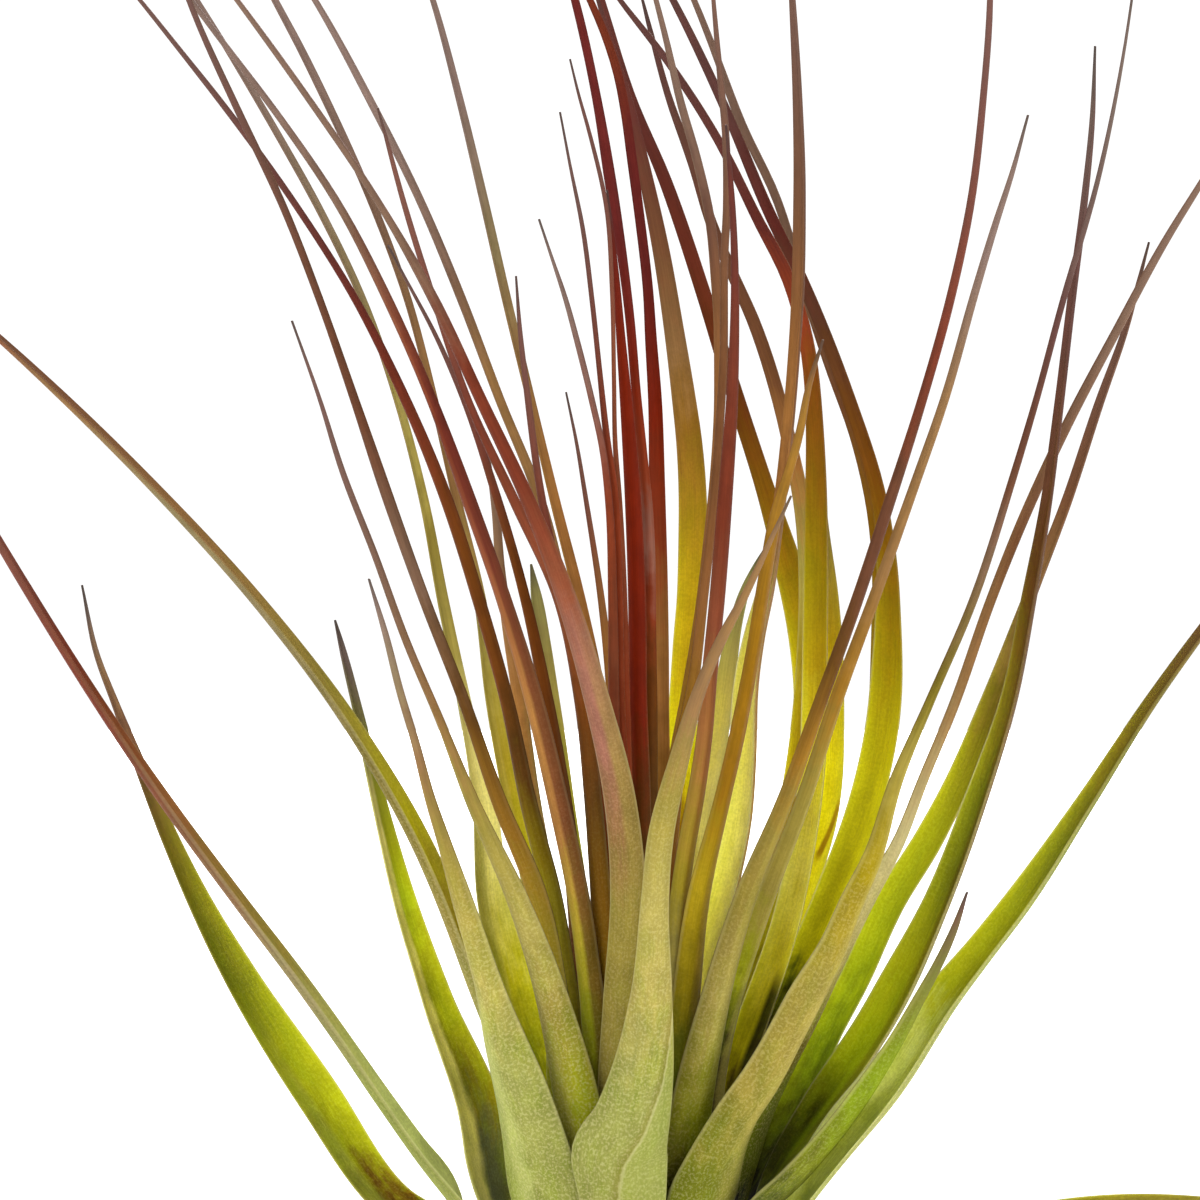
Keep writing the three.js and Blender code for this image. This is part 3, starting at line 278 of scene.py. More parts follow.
    [-4, 200, -7.8, 24], [-8, 300, -9.1, 24], [-12, 400, -10.3, 21], [-20, 500, -11.8, 18],
    [-31, 600, -13.3, 16], [-44, 700, -14.5, 13], [-65, 800, -15.3, 11], [-86, 900, -16, 8],
    [-100, 1000, -16.5, 6.5], [-108, 1070, -17, 4.5], [-112, 1124, -17, 2]]],
  ["back_tan", "tan", None, [
    [35, 200, -5.6, 32], [34, 320, -6.6, 28], [34, 450, -8, 24], [38, 550, -8.6, 21],
    [48, 640, -9, 17], [60, 710, -9.5, 14], [71, 780, -9.8, 12], [80, 860, -10, 10],
    [87, 930, -10, 10], [91, 1010, -10, 10.5], [91, 1070, -10, 11], [88, 1120, -9.5, 11],
    [82, 1180, -9, 10], [69, 1240, -8.5, 9], [52, 1300, -8, 8], [37, 1365, -7, 6],
    [28, 1400, -6.5, 5], [12, 1460, -6, 2]]],
  ["hidden_tan", "tan", None, [
    [-42, 200, -0.5, 23], [-51, 300, -0.6, 24], [-62, 400, -1.2, 23], [-78, 500, -1.6, 20],
    [-95, 600, -2.6, 17], [-108, 700, -3.4, 14], [-119, 770, -4.4, 12], [-127, 830, -4.5, 10],
    [-132, 890, -4.5, 8], [-138, 930, -4.5, 5], [-143, 965, -4.5, 2]]],
  ["sweep_tan", "tan", None, [
    [-11, 200, -5.9, 26], [-13, 300, -6.9, 26], [-15, 400, -8.2, 25], [-17, 500, -9.4, 22],
    [-25, 600, -10.6, 19], [-41, 700, -11.6, 16], [-63, 800, -12.4, 13], [-88, 900, -13, 11],
    [-128, 1000, -13, 9.5], [-166, 1100, -13, 9.5], [-208, 1200, -13, 8.5], [-258, 1300, -13, 8],
    [-313, 1400, -13, 6], [-366, 1480, -13, 3.5], [-393, 1525, -13, 2]]],
  ["thin_spear_b", "rust", None, [
    [12, 200, -4.8, 15], [3, 400, -5, 16], [-4, 600, -5.2, 14], [-9, 700, -4.9, 12],
    [-10, 800, -4.5, 10.5], [-13, 900, -4, 8.5], [-21, 960, -3.7, 7], [-28, 1025, -3.3, 5.5],
    [-36, 1100, -3, 5], [-45, 1170, -2.6, 4.5], [-58, 1235, -2.3, 3], [-68, 1288, -2, 2]]],
  ["thin_spear_a", "rust", None, [
    [-21, 200, -2.1, 16], [-16, 400, -6.2, 16], [-13, 600, -8.2, 14], [-14, 700, -9, 12],
    [-15, 800, -9.4, 10], [-19, 900, -9.6, 8], [-25, 950, -9.6, 7], [-36, 1000, -9.6, 6.5],
    [-51, 1060, -9.6, 6], [-62, 1100, -9.6, 5], [-77, 1145, -9.6, 3], [-89, 1181, -9.6, 2]]],
]

# The youngest leaves: name, tint, root [x, y], side, path
CROWN = [
  ["red_core_rear", "maroon", [0.9, 1.7], 90, [
    [22, 200, 1.9, 26], [27, 350, 2.2, 25], [31, 500, 2.5, 23], [33, 600, 2.7, 20],
    [33, 700, 2.7, 16.5], [32, 800, 2.7, 16.5], [29, 920, 2.7, 16], [27, 1000, 2.5, 14],
    [23, 1060, 2.3, 12], [20, 1110, 2.2, 10.5], [12, 1180, 2, 10], [4, 1240, 2, 10],
    [-3, 1290, 2, 9.5], [-10, 1325, 2, 9], [-23, 1365, 2, 8], [-38, 1400, 2, 7],
    [-70, 1462, 2, 2]]],
  ["red_core_right", "maroon", [0.7, 0.1], -90, [
    [13, 200, 0.2, 24], [17, 350, 0.2, 24], [20, 500, 0.2, 22], [21, 600, 0.2, 18],
    [22, 700, 0.2, 15], [22, 800, 0.2, 12], [20, 880, 0.2, 11.5], [14, 950, 0.1, 10],
    [8, 1010, 0, 9.5], [2, 1080, 0, 9.5], [-6, 1145, 0, 10], [-17, 1215, 0, 12],
    [-31, 1300, 0, 9.5], [-53, 1400, 0, 8.5], [-75, 1475, 0, 2]]],
  ["grey_tip", "tan", [-1.9, 1.6], 90, [
    [-16, 200, 1.5, 18], [-13, 400, 1.4, 17], [-12, 600, 1.2, 14], [-16, 700, 1, 11],
    [-26, 795, 1, 7.5], [-42, 900, 1, 5], [-52, 960, 1, 3.5], [-62, 1008, 1, 2]]],
  ["red_core_left", "maroon", [0.4, -1.2], -90, [
    [8, 200, -1.3, 22], [12, 400, -1.4, 24], [14, 500, -1.5, 22], [13, 600, -1.6, 20],
    [10, 700, -1.6, 18.5], [9, 800, -1.6, 18], [5, 900, -1.6, 16.5], [-2, 1000, -1.5, 12.5],
    [-7, 1060, -1.5, 9.5], [-12, 1125, -1.5, 6.5], [-17, 1175, -1.5, 4], [-21, 1210, -1.5, 2]]],
  ["thin_spear_c", "rust", [0, -2.5], -90, [
    [1, 200, -2.8, 18], [0, 400, -3.4, 17], [-2, 600, -4, 14], [-4, 700, -4, 12], [-5, 800, -4, 9],
    [-9, 900, -4, 6.5], [-13, 960, -4, 5], [-14, 1020, -4, 4.5], [-16, 1110, -4, 4.5],
    [-22, 1195, -4, 4.5], [-38, 1265, -4, 4], [-50, 1308, -4, 3], [-58, 1341, -4, 2]]],
]

# Colours by name; the near-black brown is partly the sheaths' own dark colour and partly painted
# shade in the hollows between the leaves
PALETTE = {
  "mist": 0x94964A, "straw": 0xAA9C4E, "sage": 0x848A3A, "khaki": 0x948438, "drab": 0x86764E,
  "tan": 0x8C683C, "taupe": 0x725642, "clay": 0x8E5E32, "brown": 0x72492A, "cocoa": 0x603A26,
  "umber": 0x5E3C10, "sienna": 0x6E3A0C, "rose": 0x84462C, "brick": 0x6E2E1A, "wine": 0x6C1004,
  "maroon": 0x5A2018, "plum": 0x542E2A, "leaf": 0x8C8E0E, "lime": 0xA0A214, "citron": 0xC2BA18,
  "lemon": 0xDCCE34, "butter": 0xDACE66, "gold": 0xB09614, "mustard": 0x968208, "bronze": 0x8E640A,
  "ochre": 0x946A1E, "amber": 0x84500C, "moss": 0x6C7014, "pine": 0x3C420C, "olive": 0x706216,
  "grey": 0x5E524A, "ash": 0x443E3A, "bark": 0x4A3A24, "pit": 0x1A1204, "cream": 0xD6CA98,
  "dust": 0x806A60, "wheat": 0xE4DA88, "linen": 0xBCAE78, "brass": 0xB8A42E, "copper": 0xA8743A,
  "russet": 0x8C3A1C, "crimson": 0x7A1F04, "fern": 0xA0AA50, "grass": 0x7C900E, "slate": 0x62664A,
  "salmon": 0x966250, "celery": 0xC8D07A, "spring": 0xA6B416, "garnet": 0x62201C,
}

# For each leaf its outer face and its inner face, as colours at drawing heights; the near-black
# brown low on some faces is painted shade in the hollows, over the sheaths' own dark colour. Five
# leaves at the back share an outer face, and three thin ones an inner face.
BACK_OUTER = "moss 200, olive 600, brown 1000"
SPEAR_INNER = "umber 300, brick 800"
LOOKS = {
  "right_level": (
    "sage 0, sage 300, drab 700, tan 1200",
    "mist 0, mist 300, olive 600, khaki 1100"),
  "low_front": ("sage 0, leaf 300, khaki 700, brown 930", "moss 0, leaf 300, lime 600, olive 930"),
  "low_back_left": (
    "sage 0, leaf 300, khaki 700, brown 1000",
    "moss 0, leaf 300, lime 600, olive 1000"),
  "low_back_right": (
    "sage 0, leaf 300, khaki 700, brown 970",
    "moss 0, leaf 300, lime 600, olive 970"),
  "left_wide": (
    "mist 150, sage 300, khaki 450, olive 560, plum 700, grey 790",
    "pit 150, umber 205, leaf 250, lime 330, moss 420, olive 560, brown 660, tan 730, grey 790"),
  "right_low_long": (
    "mist 190, mist 330, sage 480, moss 600, olive 720, brown 900",
    "celery 200, celery 330, leaf 410, leaf 480, moss 550, olive 650, umber 800, brown 920"),
  "back_brown": (
    "moss 200, olive 500, brown 800, cocoa 1200",
    "pit 260, olive 340, lime 460, gold 640, bronze 870, brown 1000, taupe 1180, taupe 1400"),
  "front_right_pale": (
    "moss 170, moss 230, khaki 320, khaki 420, mustard 530, khaki 640, olive 710, taupe 850, "
    "cocoa 930, plum 1080, grey 1300",
    "moss 200, olive 500, brown 900, plum 1200"),
  "left_low": (
    "sage 200, sage 320, drab 420, brown 560, brick 680, brick 850, plum 1000",
    "celery 200, celery 300, khaki 450, clay 580, brick 720, brick 860, plum 1000"),
  "front_centre": (
    "mist 180, mist 300, straw 400, straw 500, khaki 600, tan 700, ochre 820, ochre 900",
    "moss 200, olive 500, brown 800"),
  "left_upright": (
    "slate 190, slate 270, mist 320, linen 400, mist 500, sage 560, moss 660, grey 750",
    "slate 200, slate 250, olive 310, leaf 380, lime 450, spring 500, leaf 560, moss 660, "
    "grey 740"),
  "back_gold": (
    BACK_OUTER,
    "pit 270, olive 340, citron 430, lemon 530, lemon 640, gold 760, khaki 880, tan 1000"),
  "right_short": (
    "pine 190, moss 240, grass 320, moss 420, cocoa 500",
    "pine 200, moss 300, olive 420"),
  "front_left_broad": (
    "sage 170, mist 230, mist 330, straw 430, khaki 540, tan 640, drab 730, dust 810",
    "moss 200, olive 500, brown 750"),
  "right_dark": (
    "moss 200, sage 400, olive 560, umber 700, plum 900, plum 1300",
    "moss 200, grass 260, spring 350, lime 430, moss 520, moss 600, olive 680, umber 800, "
    "cocoa 950, plum 1150, grey 1340"),
  "back_broad_right": (
    "moss 200, olive 600, umber 1000",
    "pit 380, moss 410, citron 445, citron 610, mustard 740, bronze 850, amber 930, cocoa 1080, "
    "maroon 1180, plum 1300"),
  "sweep_back_lime": (
    "moss 200, leaf 500, khaki 800, brown 1100",
    "olive 250, leaf 330, citron 420, wheat 560, wheat 640, straw 750, khaki 860, straw 960, "
    "drab 1100, dust 1350"),
  "front_right_rear": (
    "pit 190, moss 235, moss 300, olive 350, straw 430, linen 560, tan 700, brown 860, taupe 1050, "
    "taupe 1250",
    "moss 250, olive 450, tan 700, brown 1000"),
  "front_left_tall": (
    "lime 200, lime 300, khaki 380, straw 470, khaki 570, tan 680, taupe 800, plum 1000",
    "moss 200, olive 400, brown 700"),
  "back_amber": (
    BACK_OUTER,
    "pit 280, olive 340, citron 430, lemon 540, gold 660, mustard 760, bronze 880, sienna 1000, "
    "brick 1130, maroon 1280"),
  "right_lime": (
    "pine 250, moss 400, olive 600, brown 800",
    "pit 210, pine 270, grass 350, spring 430, lime 560, olive 690, tan 820, brown 900, "
    "cocoa 1050"),
  "front_right_tall": (
    "moss 220, leaf 290, straw 400, khaki 500, khaki 560, ochre 650, umber 730, cocoa 820, "
    "cocoa 920, brick 1050, brick 1150, maroon 1350",
    "olive 300, ochre 600, brown 900"),
  "left_long": (
    "mist 250, mist 340, khaki 480, olive 650, drab 800, drab 900, tan 1000, rose 1100",
    "olive 250, leaf 380, brass 480, citron 580, khaki 720, tan 870, brown 1000, cocoa 1150"),
  "back_olive_tall": (
    BACK_OUTER,
    "olive 300, citron 480, gold 620, gold 700, straw 840, copper 930, brown 1030, cocoa 1180, "
    "plum 1350"),
  "sweep_back_olive": (
    "sage 200, straw 500, khaki 700, brown 1000",
    "olive 250, lime 380, citron 520, brass 640, straw 760, tan 900, tan 1020, taupe 1180, "
    "dust 1380"),
  "front_centre_tall": (
    "sage 220, khaki 300, khaki 480, tan 560, salmon 660, salmon 740, rose 820, brick 920, "
    "brick 1030, taupe 1150, taupe 1350",
    "olive 400, brown 700, wine 1000"),
  "front_right_second": (
    "pit 345, moss 385, lime 430, khaki 500, khaki 600, ochre 710, tan 830, tan 1000, dust 1150, "
    "dust 1250",
    "olive 300, ochre 600, tan 900"),
  "sweep_brown": (
    "sage 220, leaf 300, brass 420, ochre 560, umber 690, taupe 830, cocoa 980, cocoa 1150, "
    "plum 1400",
    "moss 250, olive 500, umber 800"),
  "back_yellow_tall": (
    BACK_OUTER,
    "pit 250, olive 300, citron 360, lemon 430, butter 540, lemon 650, gold 730, mustard 820, "
    "bronze 920, amber 1000, russet 1090, maroon 1180, plum 1350"),
  "front_orange": (
    "pine 240, moss 330, mustard 420, gold 520, bronze 620, bronze 740, bronze 850, ochre 980, "
    "brown 1050",
    "olive 300, gold 500, amber 800"),
  "back_yellow_wide": (
    BACK_OUTER,
    "olive 300, bronze 560, citron 640, gold 720, gold 820, ochre 960, tan 1050, brown 1150, "
    "maroon 1280"),
  "sweep_rose": (
    "olive 260, lime 380, brass 460, copper 570, copper 690, rose 850, brick 970, rose 1060, "
    "taupe 1180, dust 1380",
    "olive 400, umber 600, maroon 900"),
  "front_rose": (
    "olive 280, straw 350, straw 440, brass 530, copper 640, rose 770, brick 880, brick 1030, "
    "maroon 1200",
    "umber 400, brick 700, wine 1000"),
  "short_green_tip": (
    "moss 300, ochre 500, ochre 640, khaki 720, sage 790, moss 830",
    "olive 300, leaf 500, straw 700, mist 820"),
  "sweep_maroon": (
    "moss 220, lemon 370, lemon 430, mustard 540, umber 640, sienna 730, sienna 860, brick 980, "
    "maroon 1150, plum 1350",
    "olive 300, umber 600, maroon 900"),
  "sweep_red_thin": (
    "pit 300, bronze 430, umber 600, sienna 700, rose 830, brick 980, brick 1200",
    "umber 400, wine 800"),
  "tall_tan": (
    "olive 300, ochre 600, tan 800, brown 1000, cocoa 1200",
    "olive 300, wheat 390, wheat 500, wheat 600, butter 720, straw 790, clay 860, copper 990, "
    "clay 1090, brown 1200, cocoa 1350"),
  "sweep_olive": (
    "moss 300, olive 550, ochre 750, ochre 950, tan 1100, dust 1250",
    "leaf 400, gold 600, copper 720, copper 900, tan 1020, drab 1150, dust 1300"),
  "back_rose": (
    "umber 300, amber 500, ochre 680, clay 800, brown 930, brown 1100, cocoa 1330",
    "umber 400, brown 800"),
  "back_green_short": (
    "moss 300, leaf 600",
    "citron 350, wheat 480, wheat 600, butter 700, sage 830"),
  "sweep_dark_thin": (
    "umber 300, sienna 480, sienna 700, sienna 850, brick 950, plum 1100",
    "olive 300, umber 600, maroon 900"),
  "red_spear": ("umber 300, sienna 550, brick 700, brick 950, maroon 1080", "umber 300, wine 800"),
  "back_tan": (
    "olive 350, ochre 520, ochre 700, clay 860, clay 1020, cocoa 1180, taupe 1300",
    "olive 350, ochre 600, tan 900"),
  "hidden_tan": ("moss 300, tan 500, copper 700, tan 850, taupe 950", "olive 300, tan 700"),
  "sweep_tan": (
    "moss 300, clay 500, copper 700, tan 880, tan 1020, taupe 1120, dust 1280",
    "olive 300, ochre 600, brown 1000"),
  "thin_spear_b": ("umber 300, russet 600, russet 900, brick 1030, plum 1200", SPEAR_INNER),
  "thin_spear_a": ("umber 300, russet 600, rose 740, russet 900, dust 1100", SPEAR_INNER),
  "red_core_rear": (
    "umber 300, amber 500, amber 640, russet 800, crimson 950, brick 1150, rose 1300",
    "umber 400, ochre 560, copper 690, copper 760, russet 860, crimson 990, garnet 1130, "
    "garnet 1250, brick 1350"),
  "red_core_right": (
    "pit 450, umber 600, sienna 720, russet 800, salmon 860, russet 920, crimson 1030, "
    "garnet 1150, garnet 1320",
    "pit 300, maroon 700, wine 1000"),
  "grey_tip": (
    "umber 300, brown 600, grey 850, ash 1000",
    "umber 300, copper 650, copper 760, rose 880, plum 1000"),
  "red_core_left": (
    "pit 420, umber 560, crimson 690, crimson 900, crimson 1040, maroon 1200",
    "pit 300, wine 700, maroon 1000"),
  "thin_spear_c": (
    "umber 300, russet 600, russet 720, rose 900, rose 1060, maroon 1250",
    SPEAR_INNER),
}

# By tint or by leaf: how much light passes below the surface, how scurfy the leaf is, and how much
# it greys toward its tip
GLOW = {"gold": 0.7, "green": 0.35, "olive": 0.12, "tan": 0.15, "rust": 0, "maroon": 0,
        "tall_tan": 0.7, "left_long": 0}
SCURF = {"gold": 0.3, "green": 0.8, "olive": 1.0, "tan": 0.5, "rust": 0.4, "maroon": 0.35,
         "front_orange": 0.1, "right_short": 0.3, "front_right_pale": 0.5, "red_core_rear": 0.1,
         "red_core_right": 0.1, "red_core_left": 0.1, "front_right_second": 0.2}
GREYING = {"gold": 0.15, "green": 0.3, "olive": 0.45, "tan": 0.45, "rust": 0.4, "maroon": 0.4,
           "red_core_rear": 0, "red_core_right": 0, "red_core_left": 0, "front_rose": 0.1,
           "left_long": 0.15, "front_orange": 0.1}

# Leaves with one half of another colour, partly their own colouring and partly painted light and
# shade on the half turned toward or away from the light, with painted shadow where the half is
# near-black: the leaf, which half as drawn, its colour, its strength, and the drawing heights
# between which it fades away
HALF_TINTS_AND_SHADE = [
  ("front_centre_tall", "right", "khaki", 0.6, 620, 800),
  ("sweep_rose", "right", "maroon", 0.7, 1000, 1200),
  ("sweep_maroon", "right", "umber", 0.25, 700, 1000),
  ("front_orange", "right", "tan", 0.3, 800, 950),
  ("right_dark", "right", "umber", 0.45, 900, 1100),
  ("left_upright", "left", "wheat", 0.85, 560, 700),
  ("left_wide", "left", "mist", 0.55, 260, 420),
  ("sweep_back_olive", "left", "butter", 0.35, 620, 760),
  ("sweep_back_lime", "left", "mist", 0.5, 520, 640),
  ("front_right_tall", "left", "umber", 0.3, 600, 900),
  ("front_right_second", "right", "straw", 0.5, 600, 760),
  ("front_right_pale", "right", "straw", 0.35, 560, 700),
  ("front_left_broad", "left", "celery", 0.35, 340, 460),
  ("front_left_tall", "left", "straw", 0.5, 600, 760),
  ("front_rose", "right", "brick", 0.35, 700, 900),
  ("back_yellow_tall", "right", "pit", 0.95, 405, 445),
  ("right_dark", "left", "pit", 0.9, 280, 360),
]

# The sheath's own overlap on the front leaf, with a painted shadow beside the overlapping margin,
# and a bruise on one at the back
OVERLAP_LEAF = "front_centre"
OVERLAP = (217, 165)             # drawing height of its middle, and from there to the margin
BRUISE_LEAF = "back_gold"
BRUISE = (542, 596, -0.1, -0.9, 0.35)  # from and to height, from and to place across, half width

FLOOR = 1.8                      # width of the floor in metres
LOW_RISE = 10                    # drawing height of a low leaf, per millimetre of its reach
CROWN_SEED = 60                  # first number of the youngest leaves, for their grain
GRAIN_STEP = 17.0                # how far apart the leaves lie in the grain's noise

# Noise scales of a leaf, per millimetre across it and along it
STREAKS = (2.2, 0.06, 1)
FIBRES = (6.0, 0.12, 1)
MOTTLES = (0.45, 0.2, 1)
PATCHES = (0.3, 0.11, 1)
SPECKS = (2.8, 2.2, 1)

DARK = (0.004, 0.04)             # colour brightness of a hollow in painted shade, and of a face that is lit
RELIEF = 0.00012                 # depth of the leaf's relief in metres

WHITE = (1, 1, 1, 1)
SKY_SEEN = 1.1                   # strength of the sky behind the plant
SKY_LIGHT = 0.45                 # and of the one that lights it
MIDDLE = (0, 0, 0.11)            # where the lights are aimed, in metres
# Lights: name, place, width in metres, watts
LIGHTS = [
    ("key", (-0.6, -1.0, 1.2), 0.6, 12),
    ("fill", (1.1, -0.7, 0.5), 0.9, 6),
    ("rear", (0.2, 1.1, 0.9), 0.9, 32),
]


def clamp(x, low, high):
    return min(high, max(low, x))


def ease(x):
    t = clamp(x, 0, 1)
    return t * t * (3 - 2 * t)


class Curve:
    """A smooth curve through points of any size, spaced by the distance between them"""

    def __init__(self, points):
        self.points = points
        self.at = [0.0]
        for a, b in zip(points, points[1:]):
            self.at.append(self.at[-1] + math.dist(a[:3], b[:3]))
        self.length = self.at[-1]
        self.last = len(points) - 1
        sizes = range(len(points[0]))
        self.slopes = [[self.slope(i, k) for k in sizes] for i in range(len(points))]

    def chord(self, i, k):
        return (self.points[i + 1][k] - self.points[i][k]) / (self.at[i + 1] - self.at[i])

    def slope(self, i, k):
        if i in (0, self.last):
            return self.chord(min(i, self.last - 1), k)
        before, after = self.chord(i - 1, k), self.chord(i, k)
        if before * after <= 0:
            return 0.0
        p, q = self.at[i] - self.at[i - 1], self.at[i + 1] - self.at[i]
        most = STEEPEST * min(abs(before), abs(after))
        return clamp((before * q + after * p) / (p + q), -most, most)

    def sample(self, s):
        i = 0
        while i < self.last - 1 and s > self.at[i + 1]:
            i += 1
        h = self.at[i + 1] - self.at[i]
        t = (s - self.at[i]) / h
        value, rate = [], []
        for k in range(len(self.points[0])):
            start = self.points[i][k]
            step = self.points[i + 1][k] - start
            m, n = self.slopes[i][k] * h, self.slopes[i + 1][k] * h
            square, cube = 3 * step - 2 * m - n, m + n - 2 * step
            value.append(start + t * (m + t * (square + t * cube)))
            rate.append((m + t * (2 * square + 3 * t * cube)) / h)
        return value, rate


def on_sight(u, v, away, width):
    """A point and a width of the front elevation at its own depth, and its drawing height"""
    a = (u * UNIT - AIM.x) / SIGHT
    b = (v * UNIT - AIM.z) / SIGHT
    t = (away - EYE.y) / (math.cos(TIP) + b * math.sin(TIP))
    z = EYE.z + t * (b * math.cos(TIP) - math.sin(TIP))
    return (EYE.x + t * a, away, z, width * UNIT * t / SIGHT, v)


def drawn_path(drawn):
    lean = MOST_LEAN * clamp(drawn[0][2] / LEAN_RADIUS, -1, 1)
    path = []
    for u, v, away, width in drawn:
        rise = max(0, (v - SHEATH_TOP) / (LEAF_TOP - SHEATH_TOP))
        path.append(on_sight(u, v, away + lean * rise ** LEAN_POWER, width))
    return path


def stem_radius(z):
    f = clamp((z - FOOT_HEIGHT) / (CROWN_HEIGHT - FOOT_HEIGHT), 0, 1)
    return STEM_RADIUS + (CROWN_RADIUS - STEM_RADIUS) * f


def with_root(rank, first):
    """A leaf's azimuth, and its points from the root on the stem up to the top of its sheath"""
    height = FIRST_ROOT + (LAST_ROOT - FIRST_ROOT) * rank / (len(LOW) + len(LEAVES) - 1)
    azimuth = math.atan2(first[1], first[0])
    narrow = ROOT_WIDTH * stem_radius(height)
    reach = math.hypot(first[0], first[1])
    out = ROOT[1][0] * (reach - stem_radius(height) - SEAT)
    rise = ROOT[1][1] * (first[2] - height)
    start = stem_radius(height) + SEAT + UPRIGHT_ROOM * rise / math.hypot(out, rise)
    points = []
    for outward, upward, widening in ROOT:
        r = start + (reach - start) * outward
        z = height + (first[2] - height) * upward
        width = narrow + (first[3] - narrow) * widening
        points.append((r * math.cos(azimuth), r * math.sin(azimuth), z, width, first[4] * upward))
    return azimuth, points


def section(path, s, inward, turn, form):
    """The frame of one cross-section: its middle, its side and inner directions, and its sizes"""
    value, rate = path.sample(s)
    centre = Vector(value[:3])
    along = Vector(rate[:3]).normalized()
    blade = ease((s - SHEATH_LENGTH) / BLADE_FROM)
    facing = inward + Vector((0, -turn * ease((s - TURN_START) / TURN_OVER), 0))
    inner = (facing - along * facing.dot(along)).normalized()
    side = along.cross(inner)
    across = along.cross(centre - EYE).normalized()
    width = max(MIN_WIDTH, value[3])
    thick = min(BLADE, 0.1 + 0.5 * width)
    hollow = SHEATH_HOLLOW + (form["hollow"] - SHEATH_HOLLOW) * blade
    half = width / 2
    if form["drawn"]:
        seen = [half * (c * side.dot(across) + hollow * c * c * inner.dot(across)) for c in SHARES]
        low, high = min(seen), max(seen)
        grow = clamp((width - thick / 2) / (high - low), 1, MOST_GROW)
        share = 1 + ease((s - GROW_FROM) / GROW_OVER) * (grow - 1)
        half *= share
        centre = centre + across * (-blade * share * (low + high) / 2)
    return centre, side, inner, half, hollow, thick, value[4], side.dot(across)


SHARES = [math.sin(math.pi / 2 * (2 * i / (POINTS - 1) - 1)) for i in range(POINTS)]


def leaf_mesh(name, points, azimuth, turn, form, seed):
    """A leaf as a closed band of fine cross-sections, with what its colours need at each point"""
    path = Curve(points)
    inward = Vector((-math.cos(azimuth), -math.sin(azimuth), form["lift"]))
    places, rise, across, edge, inner_face, tip, broad, grain = [], [], [], [], [], [], [], []
    frames = []
    for i in range(STATIONS):
        s = path.length * (i / (STATIONS - 1)) ** CROWDING
        frames.append((s, section(path, s, inward, turn, form)))
    hand = math.copysign(1, sum(f[1][7] for f in frames))
    for s, (centre, side, inner, half, hollow, thick, height, _) in frames:
        rim = min(EDGE, 0.6 * thick)
        for face in (-1, 1):
            for share in SHARES:
                c = -share * face
                deep = rim + (thick - rim) * math.sqrt(max(0, 1 - c * c))
                depth = hollow * half * c * c + face * deep / 2
                places.append((centre + side * (c * half) + inner * depth) * MM)
                rise.append(height / HIGH)
                across.append(c * hand)
                edge.append((1 - abs(c)) * half)
                inner_face.append((face + 1) / 2)
                tip.append(1 - s / path.length)
                broad.append(half)
                grain.extend((c * half, s, seed * GRAIN_STEP))
    n = 2 * POINTS
    faces = []
    for r in range(STATIONS - 1):
        for i in range(n):
            a, b = r * n + i, r * n + (i + 1) % n
            faces.append((a, a + n, b + n, b))
    top = (STATIONS - 1) * n
    for a in range(POINTS - 1):
        b, c, d = a + 1, n - 2 - a, n - 1 - a
        faces.append((a, b, c, d))
        faces.append((top + a, top + d, top + c, top + b))
    mesh = bpy.data.meshes.new(name)
    mesh.from_pydata(places, [], faces)
    mesh.shade_smooth()
    for label, values in (("rise", rise), ("across", across), ("edge", edge),
                          ("inner", inner_face), ("tip", tip), ("broad", broad)):
        mesh.attributes.new(label, "FLOAT", "POINT").data.foreach_set("value", values)
    mesh.attributes.new("grain", "FLOAT_VECTOR", "POINT").data.foreach_set("vector", grain)
    return mesh


# Materials


def rgb(colour):
    """A colour of the palette as linear light"""
    value = PALETTE[colour]
    parts = [(value >> shift & 255) / 255 for shift in (16, 8, 0)]
    return [p / 12.92 if p <= 0.04045 else ((p + 0.055) / 1.055) ** 2.4 for p in parts] + [1.0]


